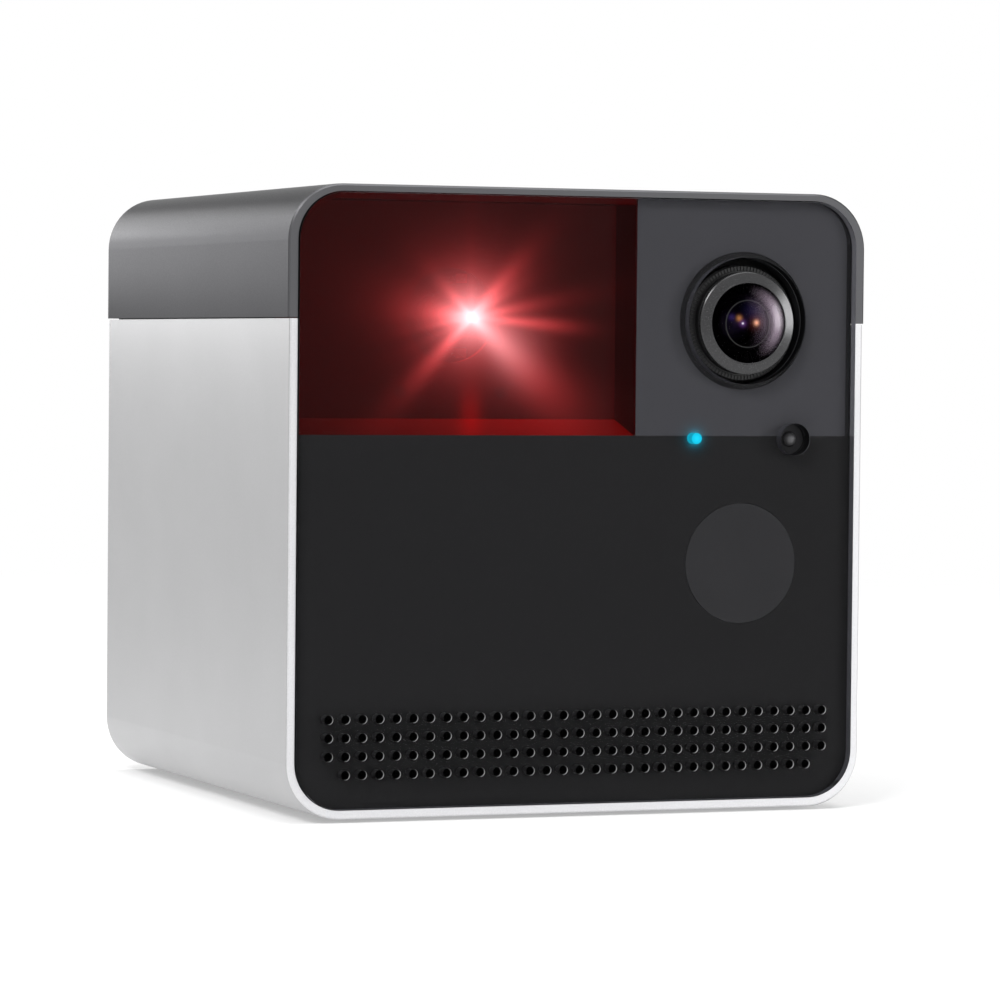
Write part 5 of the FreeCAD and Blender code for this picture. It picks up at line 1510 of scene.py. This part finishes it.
@dataclass
class BackPanel:
    """The power socket's contacts and the setup button."""

    dresser: Dresser
    contacts: int = 12
    pitch: float = 0.5
    pad: Place = (0.26, 2.2, 0.06)
    pad_inset: float = 0.2
    tongue_end: float = 39.4
    tongue_z: float = 13.38
    tongue_half: float = 0.35
    button_border: float = 0.35
    button_dish: tuple[Spot, ...] = ((0.25, 0.14), (0.7, 0.1))
    button_edge: float = 0.12

    def build(self) -> None:
        """Makes the contacts and the button."""
        self.socket_contacts()
        self.button()

    def socket_contacts(self) -> None:
        """Two rows of gold contact pads on the socket's tongue."""
        middle = self.tongue_end - self.pad_inset - self.pad[1] / 2
        pad = box("contact_pattern", (0, middle, 0), self.pad)
        soften(pad, 0.02)
        moves = [Matrix.Translation(Vector(((number - (self.contacts - 1) / 2) * self.pitch, 0,
                                            self.tongue_z + side * self.tongue_half)) * MM)
                 for side in (-1, 1) for number in range(self.contacts)]
        self.dresser.fit(join_copies(pad, "socket_contacts", moves), "brass")

    def button(self) -> None:
        """Setup button with a rolled rim and a dished face."""
        button = copy_node("setup_button", "setup_button_dished")
        face_y = max(vertex.co.y for vertex in button.data.vertices)
        pick_faces(button, lambda face: (
            face.normal.y > FACING and abs(face.center.y - face_y) < 0.01 * MM))
        with editing(button, "FACE"):
            bpy.ops.mesh.inset(thickness=self.button_border * MM)
            for width, depth in self.button_dish:
                bpy.ops.mesh.inset(thickness=width * MM)
                bpy.ops.transform.translate(value=mm(0, -depth, 0))
        soften(button, self.button_edge, 55.0)
        smooth(button, 40.0)
        self.dresser.fit(button, "black_moulding", "setup_button", body=BUTTON)


# ---- studio


@dataclass
class Softbox:
    """One rectangular studio lamp, its sizes in metres."""

    name: str
    spot: Place
    aim: Place
    width: float
    height: float
    power: float

    def build(self) -> None:
        """Adds the lamp."""
        data = bpy.data.lights.new(self.name, "AREA")
        data.shape = "RECTANGLE"
        data.size = self.width
        data.size_y = self.height
        data.energy = self.power
        lamp = bpy.data.objects.new(self.name, data)
        lamp.visible_camera = False
        bpy.context.scene.collection.objects.link(lamp)
        turn = (Vector(self.aim) - Vector(self.spot)).to_track_quat("-Z", "Y")
        lamp.matrix_world = Matrix.Translation(self.spot) @ turn.to_matrix().to_4x4()


@dataclass
class Studio:
    """Floor, lamps, world and camera."""

    camera_place: Place = (-230.27, -601.66, 61.06)
    yaw: float = 0.37124
    pitch: float = -0.03249
    roll: float = 0.0096
    lens: float = 167.55
    sensor: float = 36.0
    ambient: float = 0.5
    floor_size: float = 12.0
    floor_z: float = -0.02
    softboxes: tuple[Softbox, ...] = (
        Softbox("high_left_softbox", (-0.60, -0.55, 0.75), (0, 0, 0.05), 0.45, 0.35, 6.0),
        Softbox("right_softbox", (0.80, -0.50, 0.16), (0.02, -0.04, 0.06), 0.20, 0.35, 3.0),
        Softbox("front_right_panel", (0.45, -0.85, 0.12), (0.04, -0.04, 0.05), 0.40, 0.50, 0.5),
        Softbox("rim_softbox", (-0.20, 0.84, 0.275), (-0.04, 0, 0.07), 0.35, 0.18, 0.9),
        Softbox("side_softbox", (-0.085, 0.14, 0.085), (-0.04, 0, 0.06), 0.10, 0.03, 0.03),
        Softbox("top_softbox", (0.1, 0.05, 1.1), (0, 0, 0), 0.9, 0.9, 6.5),
    )

    def build(self) -> None:
        """Makes the whole studio."""
        self.floor()
        self.world()
        for softbox in self.softboxes:
            softbox.build()
        self.camera()

    def floor(self) -> None:
        """A wide plain floor."""
        pick()
        bpy.ops.mesh.primitive_plane_add(size=self.floor_size, location=mm(0, 0, self.floor_z))
        floor = settle(bpy.context.object, "studio_floor")
        floor.data.materials.append(FloorPaper("white_paper_floor").make())

    def world(self) -> None:
        """Soft ambient light that shows as plain white behind the object."""
        world = bpy.data.worlds.new("studio_world")
        bpy.context.scene.world = world
        tree = fresh_tree(world)
        seen: Term | float = 0.0
        for kind in ("Camera", "Glossy", "Transmission"):
            ray = add_node(tree, "LightPath", out=f"Is {kind} Ray")
            seen = add_node(tree, "Math", {0: ray, 1: seen}, operation="MAXIMUM")
        level = add_node(tree, "MapRange", {"Value": seen, "To Min": self.ambient, "To Max": 1.0})
        light = add_node(tree, "Background", {"Color": (1, 1, 1, 1), "Strength": level})
        add_node(tree, "OutputWorld", {"Surface": light})

    def camera(self) -> None:
        """The camera, level with the object's middle and to its left."""
        data = bpy.data.cameras.new("studio_camera")
        data.lens = self.lens
        data.sensor_width = self.sensor
        data.clip_start = 0.01
        forward = Vector((math.sin(self.yaw) * math.cos(self.pitch),
                          math.cos(self.yaw) * math.cos(self.pitch), math.sin(self.pitch)))
        right = Vector((math.cos(self.yaw), -math.sin(self.yaw), 0))
        up = right.cross(forward)
        turned_right = math.cos(self.roll) * right + math.sin(self.roll) * up
        turned_up = -math.sin(self.roll) * right + math.cos(self.roll) * up
        camera = bpy.data.objects.new("studio_camera", data)
        bpy.context.scene.collection.objects.link(camera)
        basis = Matrix((turned_right, turned_up, -forward)).transposed().to_4x4()
        camera.matrix_world = Matrix.Translation(Vector(self.camera_place) * MM) @ basis
        bpy.context.scene.camera = camera
        bpy.context.scene.view_settings.view_transform = "Standard"


def main() -> None:
    """Builds the sub-assemblies in order and then the studio."""
    logging.basicConfig(level=logging.INFO, format="%(name)s: %(message)s")
    dresser = Dresser()
    dresser.dress_nodes()
    for assembly in (Housing, FrontPlate, Eye, BackPanel):
        assembly(dresser).build()
    Studio().build()


if __name__ == "__main__":
    main()
